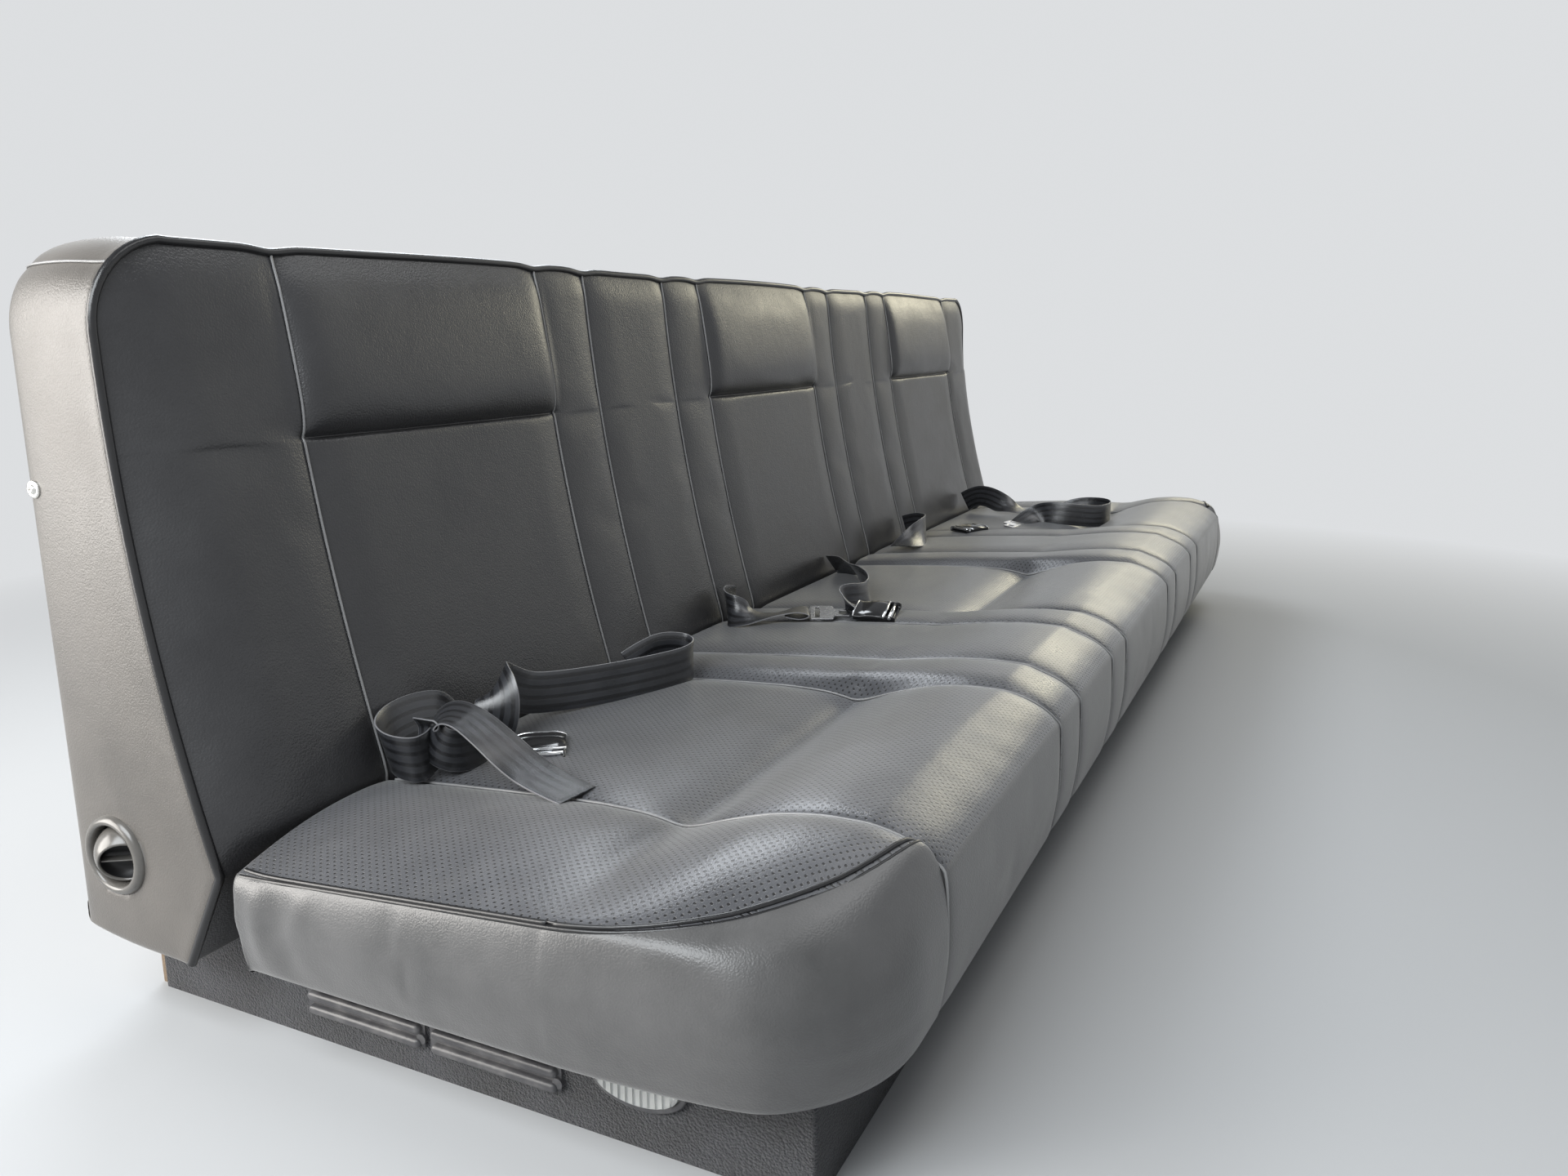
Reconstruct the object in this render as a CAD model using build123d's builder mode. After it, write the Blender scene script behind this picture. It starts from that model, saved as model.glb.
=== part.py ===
from build123d import *
from math import cos, radians, sin
import os

os.makedirs("parts", exist_ok=True)

# A three-seat side bench of a stretch limousine, standing on its carpeted plinth.
# X runs along the bench, -Y is the side that people sit on, Z is up, in millimetres.
# The origin is on the floor under the middle of the bench.

# Overall sizes
backrest_length = 2400
cushion_overhang = 20
back_y = 402
front_y = -402
bench_height = 734

# Plinth
plinth_inset = 150
plinth_front_y = -340
plinth_height = 105
carpet_thick = 5
board_thick = 18
deck_thick = 15
panel_thick = 12
ledge_height = 92
ledge_y = 190
rib_count = 3

# Seat cushion
cushion_bottom = 104
cushion_back_y = 178
cushion_corner_r = 150
cushion_back_r = 14
nose_r = 66
seat_mid_y = -118
valley_y = -156
front_tuck = 10
cushion_board_thick = 9
cushion_board_inset = 28
pocket_play = 0.5

# Backrest
boxing_corner_r = 78
boxing_top = (285, 764)
boxing_top_y = 286
boxing_mid = (270, 456)
boxing_low = (205, 187)
boxing_tip = (255, 92)
boxing_back_z = 103
boxing_crease_y = 281
face_top = (279, 716)
face_crease = (259, 554)
face_low = (183, 222)
pillow_proud = 13
pillow_top_z = 706
pillow_lip_r = 9
pillow_side = 3
pad_round = 70
pad_edge = 4
pad_inset = 5
pad_root_depth = 40
pad_root_z = 300
panel_margin = 20
panel_corner_r = 60

# Sewn channels, shared by the seat and the backrest, with a plain margin left at each end
pillow = 403
strip = 104
middle = 201
seam_width = 5
seam_depth = 4

# Air outlet in the near end of the boxing
outlet_y = 337
outlet_z = 184
outlet_r = 37
outlet_bore_r = 29
outlet_proud = 6
outlet_depth = 22
outlet_bore_depth = 46

# Vents and lamp in the near end of the plinth
vent_length = 146
vent_height = 66
vent_bottom = 29
vent_centres_y = (112, -36)
vent_flange = 2.5
vent_frame = 9
vent_wall = 2
vent_duct = 16
slat_count = 5
slat_height = 9.6
slat_proud = 8
slat_back = 4
boss_r = 5
boss_proud = 5
boss_bore_r = 1.6
lamp_y = -183
lamp_z = 63
lamp_width = 92
lamp_height = 50
lamp_ring = 6
lamp_proud = 5
lens_proud = 9
lens_flute_pitch = 7
lens_flute_r = 1.6
lamp_body = 14

# Fixings
angle_leg = 40
angle_thick = 3
angle_width = 50
angle_y = (-230, 260)
bolt_hole_r = 4.5
bracket_end_inset = 300
bracket_height = 60
bracket_width = 90
bracket_thick = 3
bracket_drop = 74

# Belts
web_width = 48
web_thick = 1.6
web_rise = 48
buckle_length = 62
buckle_width = 52
buckle_height = 14
buckle_wall = 3
lid_thick = 2.5
tongue_length = 66
tongue_width = 50
tongue_thick = 2.4
seat_clear = 0.3

# Places that follow from the sizes above
cushion_length = backrest_length + cushion_overhang
plinth_length = cushion_length - plinth_inset
margin = (backrest_length - 3 * pillow - 4 * strip - 2 * middle) / 2
half_back = backrest_length / 2
half_cushion = cushion_length / 2
half_plinth = plinth_length / 2
bracket_x = (bracket_end_inset - half_back, 0, half_back - bracket_end_inset)
bracket_z = bench_height - panel_margin - bracket_drop
board_x = half_plinth - carpet_thick
board_front_y = plinth_front_y + carpet_thick
boxing_y = back_y - bracket_thick
panel_y = boxing_y - panel_thick
deck_top = plinth_height + deck_thick
seams = [margin - half_back]
for width in (pillow, strip, middle, strip, pillow, strip, middle, strip, pillow):
    seams.append(seams[-1] + width)
pillow_starts = (seams[0], seams[4], seams[8])

# Plinth front board
with BuildPart() as front_board:
    with BuildSketch(Plane.XY):
        with Locations((0, board_front_y + board_thick / 2)):
            Rectangle(2 * board_x, board_thick)
    extrude(amount=plinth_height)
front_board.part.label = "plinth_front_board"
export_step(front_board.part, "parts/plinth_front_board.step")


# Corners of the boards that run front to back, which step down under the backrest
def board_corners(front, top_play=0):
    return [
        (front, 0),
        (panel_y, 0),
        (panel_y, ledge_height - top_play),
        (ledge_y, ledge_height - top_play),
        (ledge_y, plinth_height - top_play),
        (front, plinth_height - top_play),
    ]


# End boards, the near one cut out behind the vents and the lamp
board_back_of_front = board_front_y + board_thick
with BuildPart() as near_end_board:
    with BuildSketch(Plane.YZ.offset(-board_x)):
        with BuildLine():
            Polyline(*board_corners(board_back_of_front), close=True)
        make_face()
        with Locations(*[(y, vent_bottom + vent_height / 2) for y in vent_centres_y]):
            Rectangle(vent_length - 2 * vent_frame, vent_height - 2 * vent_frame, mode=Mode.SUBTRACT)
        with Locations((lamp_y, lamp_z)):
            Ellipse(lamp_width / 2 - lamp_ring, lamp_height / 2 - lamp_ring, mode=Mode.SUBTRACT)
    extrude(amount=board_thick)
near_end_board.part.label = "plinth_near_end_board"
export_step(near_end_board.part, "parts/plinth_near_end_board.step")

with BuildPart() as far_end_board:
    with BuildSketch(Plane.YZ.offset(board_x - board_thick)):
        with BuildLine():
            Polyline(*board_corners(board_back_of_front), close=True)
        make_face()
    extrude(amount=board_thick)
far_end_board.part.label = "plinth_far_end_board"
export_step(far_end_board.part, "parts/plinth_far_end_board.step")

# Ribs between the ends
rib_pitch = 2 * board_x / (rib_count + 1)
for number in range(1, rib_count + 1):
    rib_x = -board_x + rib_pitch * number - board_thick / 2
    with BuildPart() as rib:
        with BuildSketch(Plane.YZ.offset(rib_x)):
            with BuildLine():
                Polyline(*board_corners(board_back_of_front), close=True)
            make_face()
        extrude(amount=board_thick)
    rib.part.label = f"plinth_rib_{number}"
    export_step(rib.part, f"parts/plinth_rib_{number}.step")

# Seat deck
with BuildPart() as deck:
    with BuildSketch(Plane.XY.offset(plinth_height)):
        with Locations((0, (board_front_y + ledge_y) / 2)):
            Rectangle(2 * board_x, ledge_y - board_front_y)
    extrude(amount=deck_thick)
deck.part.label = "seat_deck"
export_step(deck.part, "parts/seat_deck.step")

# Back panel, from the floor to inside the top of the boxing
panel_top = bench_height - panel_margin
panel_half = half_back - panel_margin
panel_wide_z = boxing_back_z + panel_margin
with BuildPart() as back_panel:
    with BuildSketch(Plane.XZ.offset(-boxing_y)):
        with BuildLine():
            FilletPolyline(
                (-board_x, 0),
                (board_x, 0),
                (board_x, panel_wide_z),
                (panel_half, panel_wide_z),
                (panel_half, panel_top),
                (-panel_half, panel_top),
                (-panel_half, panel_wide_z),
                (-board_x, panel_wide_z),
                radius=(0, 0, 0, 0, panel_corner_r, panel_corner_r, 0, 0),
                close=True,
            )
        make_face()
    extrude(amount=panel_thick)
back_panel.part.label = "back_panel"
export_step(back_panel.part, "parts/back_panel.step")

# Carpet on the front and the ends of the plinth
with BuildPart() as front_carpet:
    with BuildSketch(Plane.XY):
        with Locations((0, plinth_front_y + carpet_thick / 2)):
            Rectangle(plinth_length, carpet_thick)
    extrude(amount=cushion_bottom)
    fillet(front_carpet.edges().filter_by(Axis.Z).group_by(Axis.Y)[0], carpet_thick * 0.8)
front_carpet.part.label = "carpet_front"
export_step(front_carpet.part, "parts/carpet_front.step")

with BuildPart() as near_carpet:
    with BuildSketch(Plane.YZ.offset(-half_plinth)):
        with BuildLine():
            Polyline(*board_corners(board_front_y, plinth_height - cushion_bottom), close=True)
        make_face()
        with Locations(*[(y, vent_bottom + vent_height / 2) for y in vent_centres_y]):
            Rectangle(vent_length - 2 * vent_frame, vent_height - 2 * vent_frame, mode=Mode.SUBTRACT)
        with Locations((lamp_y, lamp_z)):
            Ellipse(lamp_width / 2 - lamp_ring, lamp_height / 2 - lamp_ring, mode=Mode.SUBTRACT)
    extrude(amount=carpet_thick)
near_carpet.part.label = "carpet_near_end"
export_step(near_carpet.part, "parts/carpet_near_end.step")

with BuildPart() as far_carpet:
    with BuildSketch(Plane.YZ.offset(board_x)):
        with BuildLine():
            Polyline(*board_corners(board_front_y, plinth_height - cushion_bottom), close=True)
        make_face()
    extrude(amount=carpet_thick)
far_carpet.part.label = "carpet_far_end"
export_step(far_carpet.part, "parts/carpet_far_end.step")

# Floor angles inside the plinth's ends, an L of folded steel with one bolt hole
angles = [(end, y) for end in (-1, 1) for y in angle_y]
angle_x = board_x - board_thick
angle_hole_x = angle_x - angle_leg * 0.6
for number, (end, y) in enumerate(angles, start=1):
    with BuildPart() as floor_angle:
        with BuildSketch(Plane.XZ.offset(-y)):
            with BuildLine():
                Polyline(
                    (end * angle_x, 0),
                    (end * (angle_x - angle_leg), 0),
                    (end * (angle_x - angle_leg), angle_thick),
                    (end * (angle_x - angle_thick), angle_thick),
                    (end * (angle_x - angle_thick), angle_leg),
                    (end * angle_x, angle_leg),
                    close=True,
                )
            make_face()
        extrude(amount=angle_width / 2, both=True)
        with Locations((end * angle_hole_x, y, angle_thick)):
            Hole(bolt_hole_r, depth=angle_thick)
    floor_angle.part.label = f"floor_angle_{number}"
    export_step(floor_angle.part, f"parts/floor_angle_{number}.step")

# Wall brackets, plates on the back panel with two screw holes each
for number, x in enumerate(bracket_x, start=1):
    with BuildPart() as bracket:
        with BuildSketch(Plane.XZ.offset(-back_y)):
            with Locations((x, bracket_z)):
                RectangleRounded(bracket_width, bracket_height, 6)
            with Locations((x - bracket_width / 3, bracket_z), (x + bracket_width / 3, bracket_z)):
                Circle(bolt_hole_r, mode=Mode.SUBTRACT)
        extrude(amount=bracket_thick)
    bracket.part.label = f"wall_bracket_{number}"
    export_step(bracket.part, f"parts/wall_bracket_{number}.step")

# Seat cushion: ruled sections along X, each a back edge, a seat, a valley and a rolled nose
# Heights of the four kinds of section: back, middle of the seat, valley, crest
end_heights = (199, 219, 222, 240)
seat_heights = (221, 231, 223, 269)
strip_heights = (226, 248, 256, 273)
ramp = 26

cushion_stations = [(-half_cushion, end_heights)]
for start in pillow_starts:
    if start > seams[0]:
        cushion_stations.append((start - ramp, strip_heights))
    cushion_stations.append((start, seat_heights))
    cushion_stations.append((start + pillow, seat_heights))
    if start < seams[8]:
        cushion_stations.append((start + pillow + ramp, strip_heights))
cushion_stations.append((half_cushion, end_heights))

with BuildPart() as seat_cushion:
    for x, (back_z, mid_z, valley_z, crest_z) in cushion_stations:
        with BuildSketch(Plane.YZ.offset(x)):
            with BuildLine():
                Polyline(
                    (front_y + front_tuck, cushion_bottom),
                    (cushion_back_y, cushion_bottom),
                    (cushion_back_y, back_z),
                    (seat_mid_y, mid_z),
                    (valley_y, valley_z),
                    (front_y + nose_r, crest_z),
                )
                RadiusArc((front_y + nose_r, crest_z), (front_y, crest_z - nose_r), -nose_r)
                Line((front_y, crest_z - nose_r), (front_y + front_tuck, cushion_bottom))
            make_face()
    loft(ruled=True)
    with BuildSketch(Plane.XY):
        with BuildLine():
            FilletPolyline(
                (-half_cushion, front_y),
                (half_cushion, front_y),
                (half_cushion, cushion_back_y),
                (-half_cushion, cushion_back_y),
                radius=(cushion_corner_r, cushion_corner_r, cushion_back_r, cushion_back_r),
                close=True,
            )
        make_face()
    extrude(amount=bench_height, mode=Mode.INTERSECT)
    with BuildSketch(Plane.XY.offset(cushion_bottom)):
        with Locations((0, (board_front_y - pocket_play + cushion_back_y) / 2)):
            Rectangle(2 * (board_x + pocket_play), cushion_back_y - board_front_y + pocket_play)
    extrude(amount=deck_top - cushion_bottom, mode=Mode.SUBTRACT)
seat_cushion.part.label = "seat_cushion"

# Base board of the seat cushion, inside its cover
board_half = half_cushion - cushion_board_inset
board_back = cushion_back_y - cushion_board_inset
with BuildPart() as cushion_board:
    with BuildSketch(Plane.XY.offset(deck_top)):
        with BuildLine():
            FilletPolyline(
                (-board_half, front_y + cushion_board_inset),
                (board_half, front_y + cushion_board_inset),
                (board_half, board_back),
                (-board_half, board_back),
                radius=(cushion_corner_r - cushion_board_inset, cushion_corner_r - cushion_board_inset, 5, 5),
                close=True,
            )
        make_face()
    extrude(amount=cushion_board_thick)
cushion_board.part.label = "cushion_board"
export_step(cushion_board.part, "parts/cushion_board.step")

# Sewn channels from the back over the nose and down the front
with seat_cushion:
    add(cushion_board.part, mode=Mode.SUBTRACT)
    for number, x in enumerate(seams):
        on_pillow = number % 4 in (0, 1)
        back_z, mid_z, valley_z, crest_z = seat_heights if on_pillow else strip_heights
        nose_top = (front_y + nose_r, crest_z - seam_depth)
        nose_front = (front_y + seam_depth, crest_z - nose_r)
        with BuildSketch(Plane.YZ.offset(x)):
            with BuildLine():
                Polyline(
                    (front_y + seam_depth + front_tuck, cushion_bottom),
                    (front_y - seam_depth, cushion_bottom),
                    (front_y - seam_depth, crest_z + seam_depth),
                    (cushion_back_y, crest_z + seam_depth),
                    (cushion_back_y, back_z - seam_depth),
                    (seat_mid_y, mid_z - seam_depth),
                    (valley_y, valley_z - seam_depth),
                    nose_top,
                )
                RadiusArc(nose_top, nose_front, seam_depth - nose_r)
                Line(nose_front, (front_y + seam_depth + front_tuck, cushion_bottom))
            make_face()
        extrude(amount=seam_width / 2, both=True, mode=Mode.SUBTRACT)
export_step(seat_cushion.part, "parts/seat_cushion.step")

# Backrest: the boxing's section along X, its top corners rounded in the front view
with BuildPart() as backrest:
    with BuildSketch(Plane.YZ.offset(-half_back)):
        with BuildLine():
            ThreePointArc(boxing_top, boxing_mid, boxing_low)
            Polyline(
                boxing_low,
                boxing_tip,
                (boxing_y, boxing_back_z),
                (boxing_y, boxing_top[1]),
                boxing_top,
            )
        make_face()
    extrude(amount=backrest_length)
    with BuildSketch(Plane.XZ):
        with BuildLine():
            FilletPolyline(
                (-half_back, 0),
                (half_back, 0),
                (half_back, bench_height),
                (-half_back, bench_height),
                radius=(0, 0, boxing_corner_r, boxing_corner_r),
                close=True,
            )
        make_face()
    extrude(amount=bench_height, both=True, mode=Mode.INTERSECT)

# Face pad, thin along the piping at its ends and full from pad_round in
pad_stations = (
    (-half_back + pad_edge, 0.1),
    (-half_back + pad_round * 0.35, 0.75),
    (-half_back + pad_round, 1),
    (half_back - pad_round, 1),
    (half_back - pad_round * 0.35, 0.75),
    (half_back - pad_edge, 0.1),
)
pad_root = (boxing_y - pad_root_depth, pad_root_z)
pad_heel = (boxing_low[0] + pad_inset, boxing_low[1] + pad_inset)
pad_heel_y = boxing_low[0] + 2 * pad_inset
with BuildPart() as face_pad:
    for x, fullness in pad_stations:
        with BuildSketch(Plane.YZ.offset(x)):
            top = (boxing_top_y + (face_top[0] - boxing_top_y) * fullness, face_top[1])
            mid = (boxing_crease_y + (face_crease[0] - boxing_crease_y) * fullness, face_crease[1])
            low = (pad_heel_y + (face_low[0] - pad_heel_y) * fullness, face_low[1])
            with BuildLine():
                ThreePointArc(top, mid, low)
                Polyline(low, pad_heel, pad_root, (pad_root[0], face_top[1]), top)
            make_face()
    loft(ruled=True)
    with BuildSketch(Plane.XZ):
        with BuildLine():
            FilletPolyline(
                (-half_back, 0),
                (half_back, 0),
                (half_back, bench_height),
                (-half_back, bench_height),
                radius=(0, 0, boxing_corner_r, boxing_corner_r),
                close=True,
            )
        make_face()
    extrude(amount=bench_height, both=True, mode=Mode.INTERSECT)

    # Three headrest pillows, each ending in a lip that hangs over the face below it
    lip_front = (face_crease[0] - pillow_proud, face_crease[1] + 1.5 * pillow_lip_r)
    lip_under = (lip_front[0] + pillow_lip_r, face_crease[1])
    lip_turn = (lip_front[0] + pillow_lip_r * 0.22, face_crease[1] + pillow_lip_r * 0.33)
    pillow_root_y = pad_root[0] - pad_root_depth / 2
    pillow_mid = (face_crease[0], (pillow_top_z + face_crease[1]) / 2)
    for start in pillow_starts:
        with BuildSketch(Plane.YZ.offset(start + pillow_side)):
            with BuildLine():
                ThreePointArc((face_top[0], pillow_top_z), pillow_mid, lip_front)
                ThreePointArc(lip_front, lip_turn, lip_under)
                Polyline(
                    lip_under,
                    (pillow_root_y, face_crease[1]),
                    (pillow_root_y, pillow_top_z),
                    (face_top[0], pillow_top_z),
                )
            make_face()
        extrude(amount=pillow - 2 * pillow_side)

    # Sewn channels down the face
    for x in seams:
        with BuildSketch(Plane.YZ.offset(x)):
            with BuildLine():
                ThreePointArc(
                    (face_top[0] + seam_depth, face_top[1]),
                    (face_crease[0] + seam_depth, face_crease[1]),
                    (face_low[0] + seam_depth, face_low[1]),
                )
                Polyline(
                    (face_low[0] + seam_depth, face_low[1]),
                    (face_low[0] - pillow_proud, face_low[1] - seam_depth),
                    (face_top[0] - 4 * pillow_proud, face_top[1]),
                    (face_top[0] + seam_depth, face_top[1]),
                )
            make_face()
        extrude(amount=seam_width / 2, both=True, mode=Mode.SUBTRACT)

# The bore behind the air outlet in the near end
outlet_plane = Plane(origin=(-half_back, outlet_y, outlet_z), x_dir=(0, 1, 0), z_dir=(-1, 0, 0))
with backrest:
    add(face_pad.part)
    add(back_panel.part, mode=Mode.SUBTRACT)
    with BuildSketch(outlet_plane):
        Circle(outlet_bore_r + 4)
    extrude(amount=-outlet_bore_depth, mode=Mode.SUBTRACT)
backrest.part.label = "backrest_cushion"
export_step(backrest.part, "parts/backrest_cushion.step")

# Air outlet: a round bezel with a collar in the bore, and a ball with a dished face and a vane
outlet_axis = Axis((-half_back, outlet_y, outlet_z), (-1, 0, 0))
radial_plane = Plane(origin=(-half_back, outlet_y, outlet_z), x_dir=(0, 1, 0), z_dir=(0, 0, 1))
with BuildPart() as outlet_bezel:
    with BuildSketch(radial_plane):
        with BuildLine():
            Polyline(
                (outlet_bore_r + 1, outlet_proud - 2),
                (outlet_bore_r + 1, -outlet_depth),
                (outlet_bore_r + 4, -outlet_depth),
                (outlet_bore_r + 4, 0),
                (outlet_r, 0),
                (outlet_r, 1.5),
            )
            ThreePointArc(
                (outlet_r, 1.5),
                (outlet_r - 3, outlet_proud - 0.6),
                (outlet_bore_r + 1, outlet_proud - 2),
            )
        make_face()
    revolve(axis=outlet_axis)
outlet_bezel.part.label = "outlet_bezel"
export_step(outlet_bezel.part, "parts/outlet_bezel.step")

ball_turn = 24
ball_r = outlet_bore_r + 0.6
ball_plane = outlet_plane.offset(-outlet_depth * 0.55).rotated((ball_turn, -ball_turn / 2, 0))
with BuildPart() as outlet_ball:
    with Locations(ball_plane):
        Sphere(ball_r)
    with BuildSketch(ball_plane.offset(ball_r * 0.5)):
        Circle(ball_r)
    extrude(amount=ball_r, mode=Mode.SUBTRACT)
    with BuildSketch(ball_plane.offset(ball_r * 0.5)):
        Circle(ball_r * 0.78)
    extrude(amount=-ball_r * 0.7, mode=Mode.SUBTRACT)
    with BuildSketch(ball_plane.offset(-ball_r * 0.2)):
        Rectangle(ball_r * 1.62, 2.2)
    extrude(amount=ball_r * 0.62)
outlet_ball.part.label = "outlet_ball"
export_step(outlet_ball.part, "parts/outlet_ball.step")

# Louvred vents: a thin flange, a duct through the board and half-round slats with round ends
slat_pitch = (vent_height - slat_height) / (slat_count - 1)
vent_centre_z = vent_bottom + vent_height / 2
vent_face = Plane.YZ.offset(-half_plinth)
for number, y in enumerate(vent_centres_y, start=1):
    with BuildPart() as vent:
        with BuildSketch(vent_face):
            with Locations((y, vent_centre_z)):
                RectangleRounded(vent_length - 4, vent_height, slat_height / 2)
                Rectangle(vent_length - 3 * vent_frame, vent_height - 3 * vent_frame, mode=Mode.SUBTRACT)
        extrude(amount=-vent_flange)
        with BuildSketch(vent_face):
            with Locations((y, vent_centre_z)):
                Rectangle(vent_length - 2 * vent_frame - 1, vent_height - 2 * vent_frame - 1)
                Rectangle(vent_length - 3 * vent_frame, vent_height - 3 * vent_frame, mode=Mode.SUBTRACT)
        extrude(amount=vent_duct)
        for row in range(slat_count):
            slat_z = vent_bottom + slat_height / 2 + row * slat_pitch
            with BuildSketch(vent_face.offset(-slat_proud)):
                with Locations((y, slat_z)):
                    SlotOverall(vent_length - 2 * boss_r, slat_height)
            extrude(amount=slat_proud)
        fillet(vent.faces().sort_by(Axis.X)[0:slat_count].edges(), slat_height * 0.42)
        with BuildSketch(vent_face.offset(-boss_proud)):
            with Locations((y - vent_length / 2 + boss_r, vent_bottom + slat_height), (y - vent_length / 2 + boss_r, vent_bottom + vent_height - slat_height)):
                Circle(boss_r)
        extrude(amount=boss_proud)
    vent.part.label = f"end_vent_{number}"
    export_step(vent.part, f"parts/end_vent_{number}.step")

# Courtesy lamp: an oval ring with its body in the board, and a fluted lens
lamp_rx = lamp_width / 2
lamp_rz = lamp_height / 2
with BuildPart() as lamp_bezel:
    with BuildSketch(vent_face):
        with Locations((lamp_y, lamp_z)):
            Ellipse(lamp_rx, lamp_rz)
            Ellipse(lamp_rx - lamp_ring, lamp_rz - lamp_ring, mode=Mode.SUBTRACT)
    extrude(amount=-lamp_proud)
    fillet(lamp_bezel.faces().sort_by(Axis.X)[0].edges(), lamp_proud * 0.45)
lamp_bezel.part.label = "lamp_bezel"
export_step(lamp_bezel.part, "parts/lamp_bezel.step")

lens_rx = lamp_rx - lamp_ring - seat_clear
lens_rz = lamp_rz - lamp_ring - seat_clear
flute_count = int(lens_rx / lens_flute_pitch)
with BuildPart() as lamp_lens:
    with BuildSketch(vent_face.offset(-lens_proud)):
        with Locations((lamp_y, lamp_z)):
            Ellipse(lens_rx, lens_rz)
    extrude(amount=lens_proud + lamp_body)
    fillet(lamp_lens.faces().sort_by(Axis.X)[0].edges(), lens_proud * 0.3)
    flute_y = [lamp_y + step * lens_flute_pitch for step in range(-flute_count, flute_count + 1)]
    with BuildSketch(Plane.XY):
        with Locations(*[(-half_plinth - lens_proud, y) for y in flute_y]):
            Circle(lens_flute_r)
    extrude(amount=plinth_height, mode=Mode.SUBTRACT)
lamp_lens.part.label = "lamp_lens"
export_step(lamp_lens.part, "parts/lamp_lens.step")


# Height of the seat at a place y, between the corners of its section
def seat_top(heights, y):
    back_z, mid_z, valley_z, crest_z = heights
    corners = [(cushion_back_y, back_z), (seat_mid_y, mid_z), (valley_y, valley_z)]
    corners.append((front_y + nose_r, crest_z))
    for (y0, z0), (y1, z1) in zip(corners, corners[1:]):
        if y >= y1:
            return z0 + (z1 - z0) * (y0 - y) / (y0 - y1)
    return crest_z


# Belt webbing stands on edge on the seat, each strap along a plan of runs and arcs
# Columns: node, seam it is placed from, arc radius, points of the plan from the crease outwards
straps = (
    ("belt_1_buckle_strap", 0, 24, ((84, 160), (2, 158), (-16, 96), (48, 84), (70, 132))),
    ("belt_1_tongue_strap", 0, 12, ((104, 162), (94, 122), (124, 112), (142, 150), (188, 145), (282, 88), (368, 54),
                                    (396, 70), (340, 96))),
    ("belt_2_buckle_strap", 4, 20, ((298, 158), (254, 110), (142, 62), (24, -8), (-34, -4))),
    ("belt_2_tongue_strap", 4, 20, ((-94, 160), (-143, 158), (-150, 112), (-116, 78), (-106, 54))),
    ("belt_3_buckle_strap", 7, 20, ((-24, 160), (-52, 116), (-120, 112), (-200, 126))),
    ("belt_3_tongue_strap", 8, 20, ((302, 160), (244, 62), (246, -50), (276, -112), (226, -184), (154, -164), (126, -84),
                                    (118, -44))),
)
# The end of one strap runs down over its own loop and lies on the seat
# Columns: node, seam it is placed from, middle of its width, arc radius, heights over the deck along it
tails = (
    ("belt_1_buckle_strap", 0, 4, 12, ((112, 132), (100, 152), (52, 140), (4, 118), (-46, 109))),
)
for node, seam, arc_r, plan in straps:
    with BuildPart() as strap:
        with BuildSketch(Plane.XY.offset(deck_top + web_rise)):
            with BuildLine():
                FilletPolyline(*[(seams[seam] + x, y) for x, y in plan], radius=arc_r)
            trace(line_width=web_thick)
        extrude(amount=web_rise + web_width * 1.2)
        for tail_node, tail_seam, tail_x, tail_r, heights in tails:
            if tail_node == node:
                with BuildSketch(Plane.YZ.offset(seams[tail_seam] + tail_x)):
                    with BuildLine():
                        FilletPolyline(*[(y, deck_top + z) for y, z in heights], radius=tail_r)
                    trace(line_width=web_thick)
                extrude(amount=web_width / 2, both=True)
        add(seat_cushion.part, mode=Mode.SUBTRACT)
        add(backrest.part, mode=Mode.SUBTRACT)
    strap.part.label = node
    export_step(strap.part, f"parts/{node}.step")

# How far a plate that is turned on the seat reaches forward of its own middle
def front_reach(turn, back_end, front_end, width):
    lean = sin(radians(turn))
    return max(back_end * lean, -front_end * lean) + width / 2 * abs(cos(radians(turn)))


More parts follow.
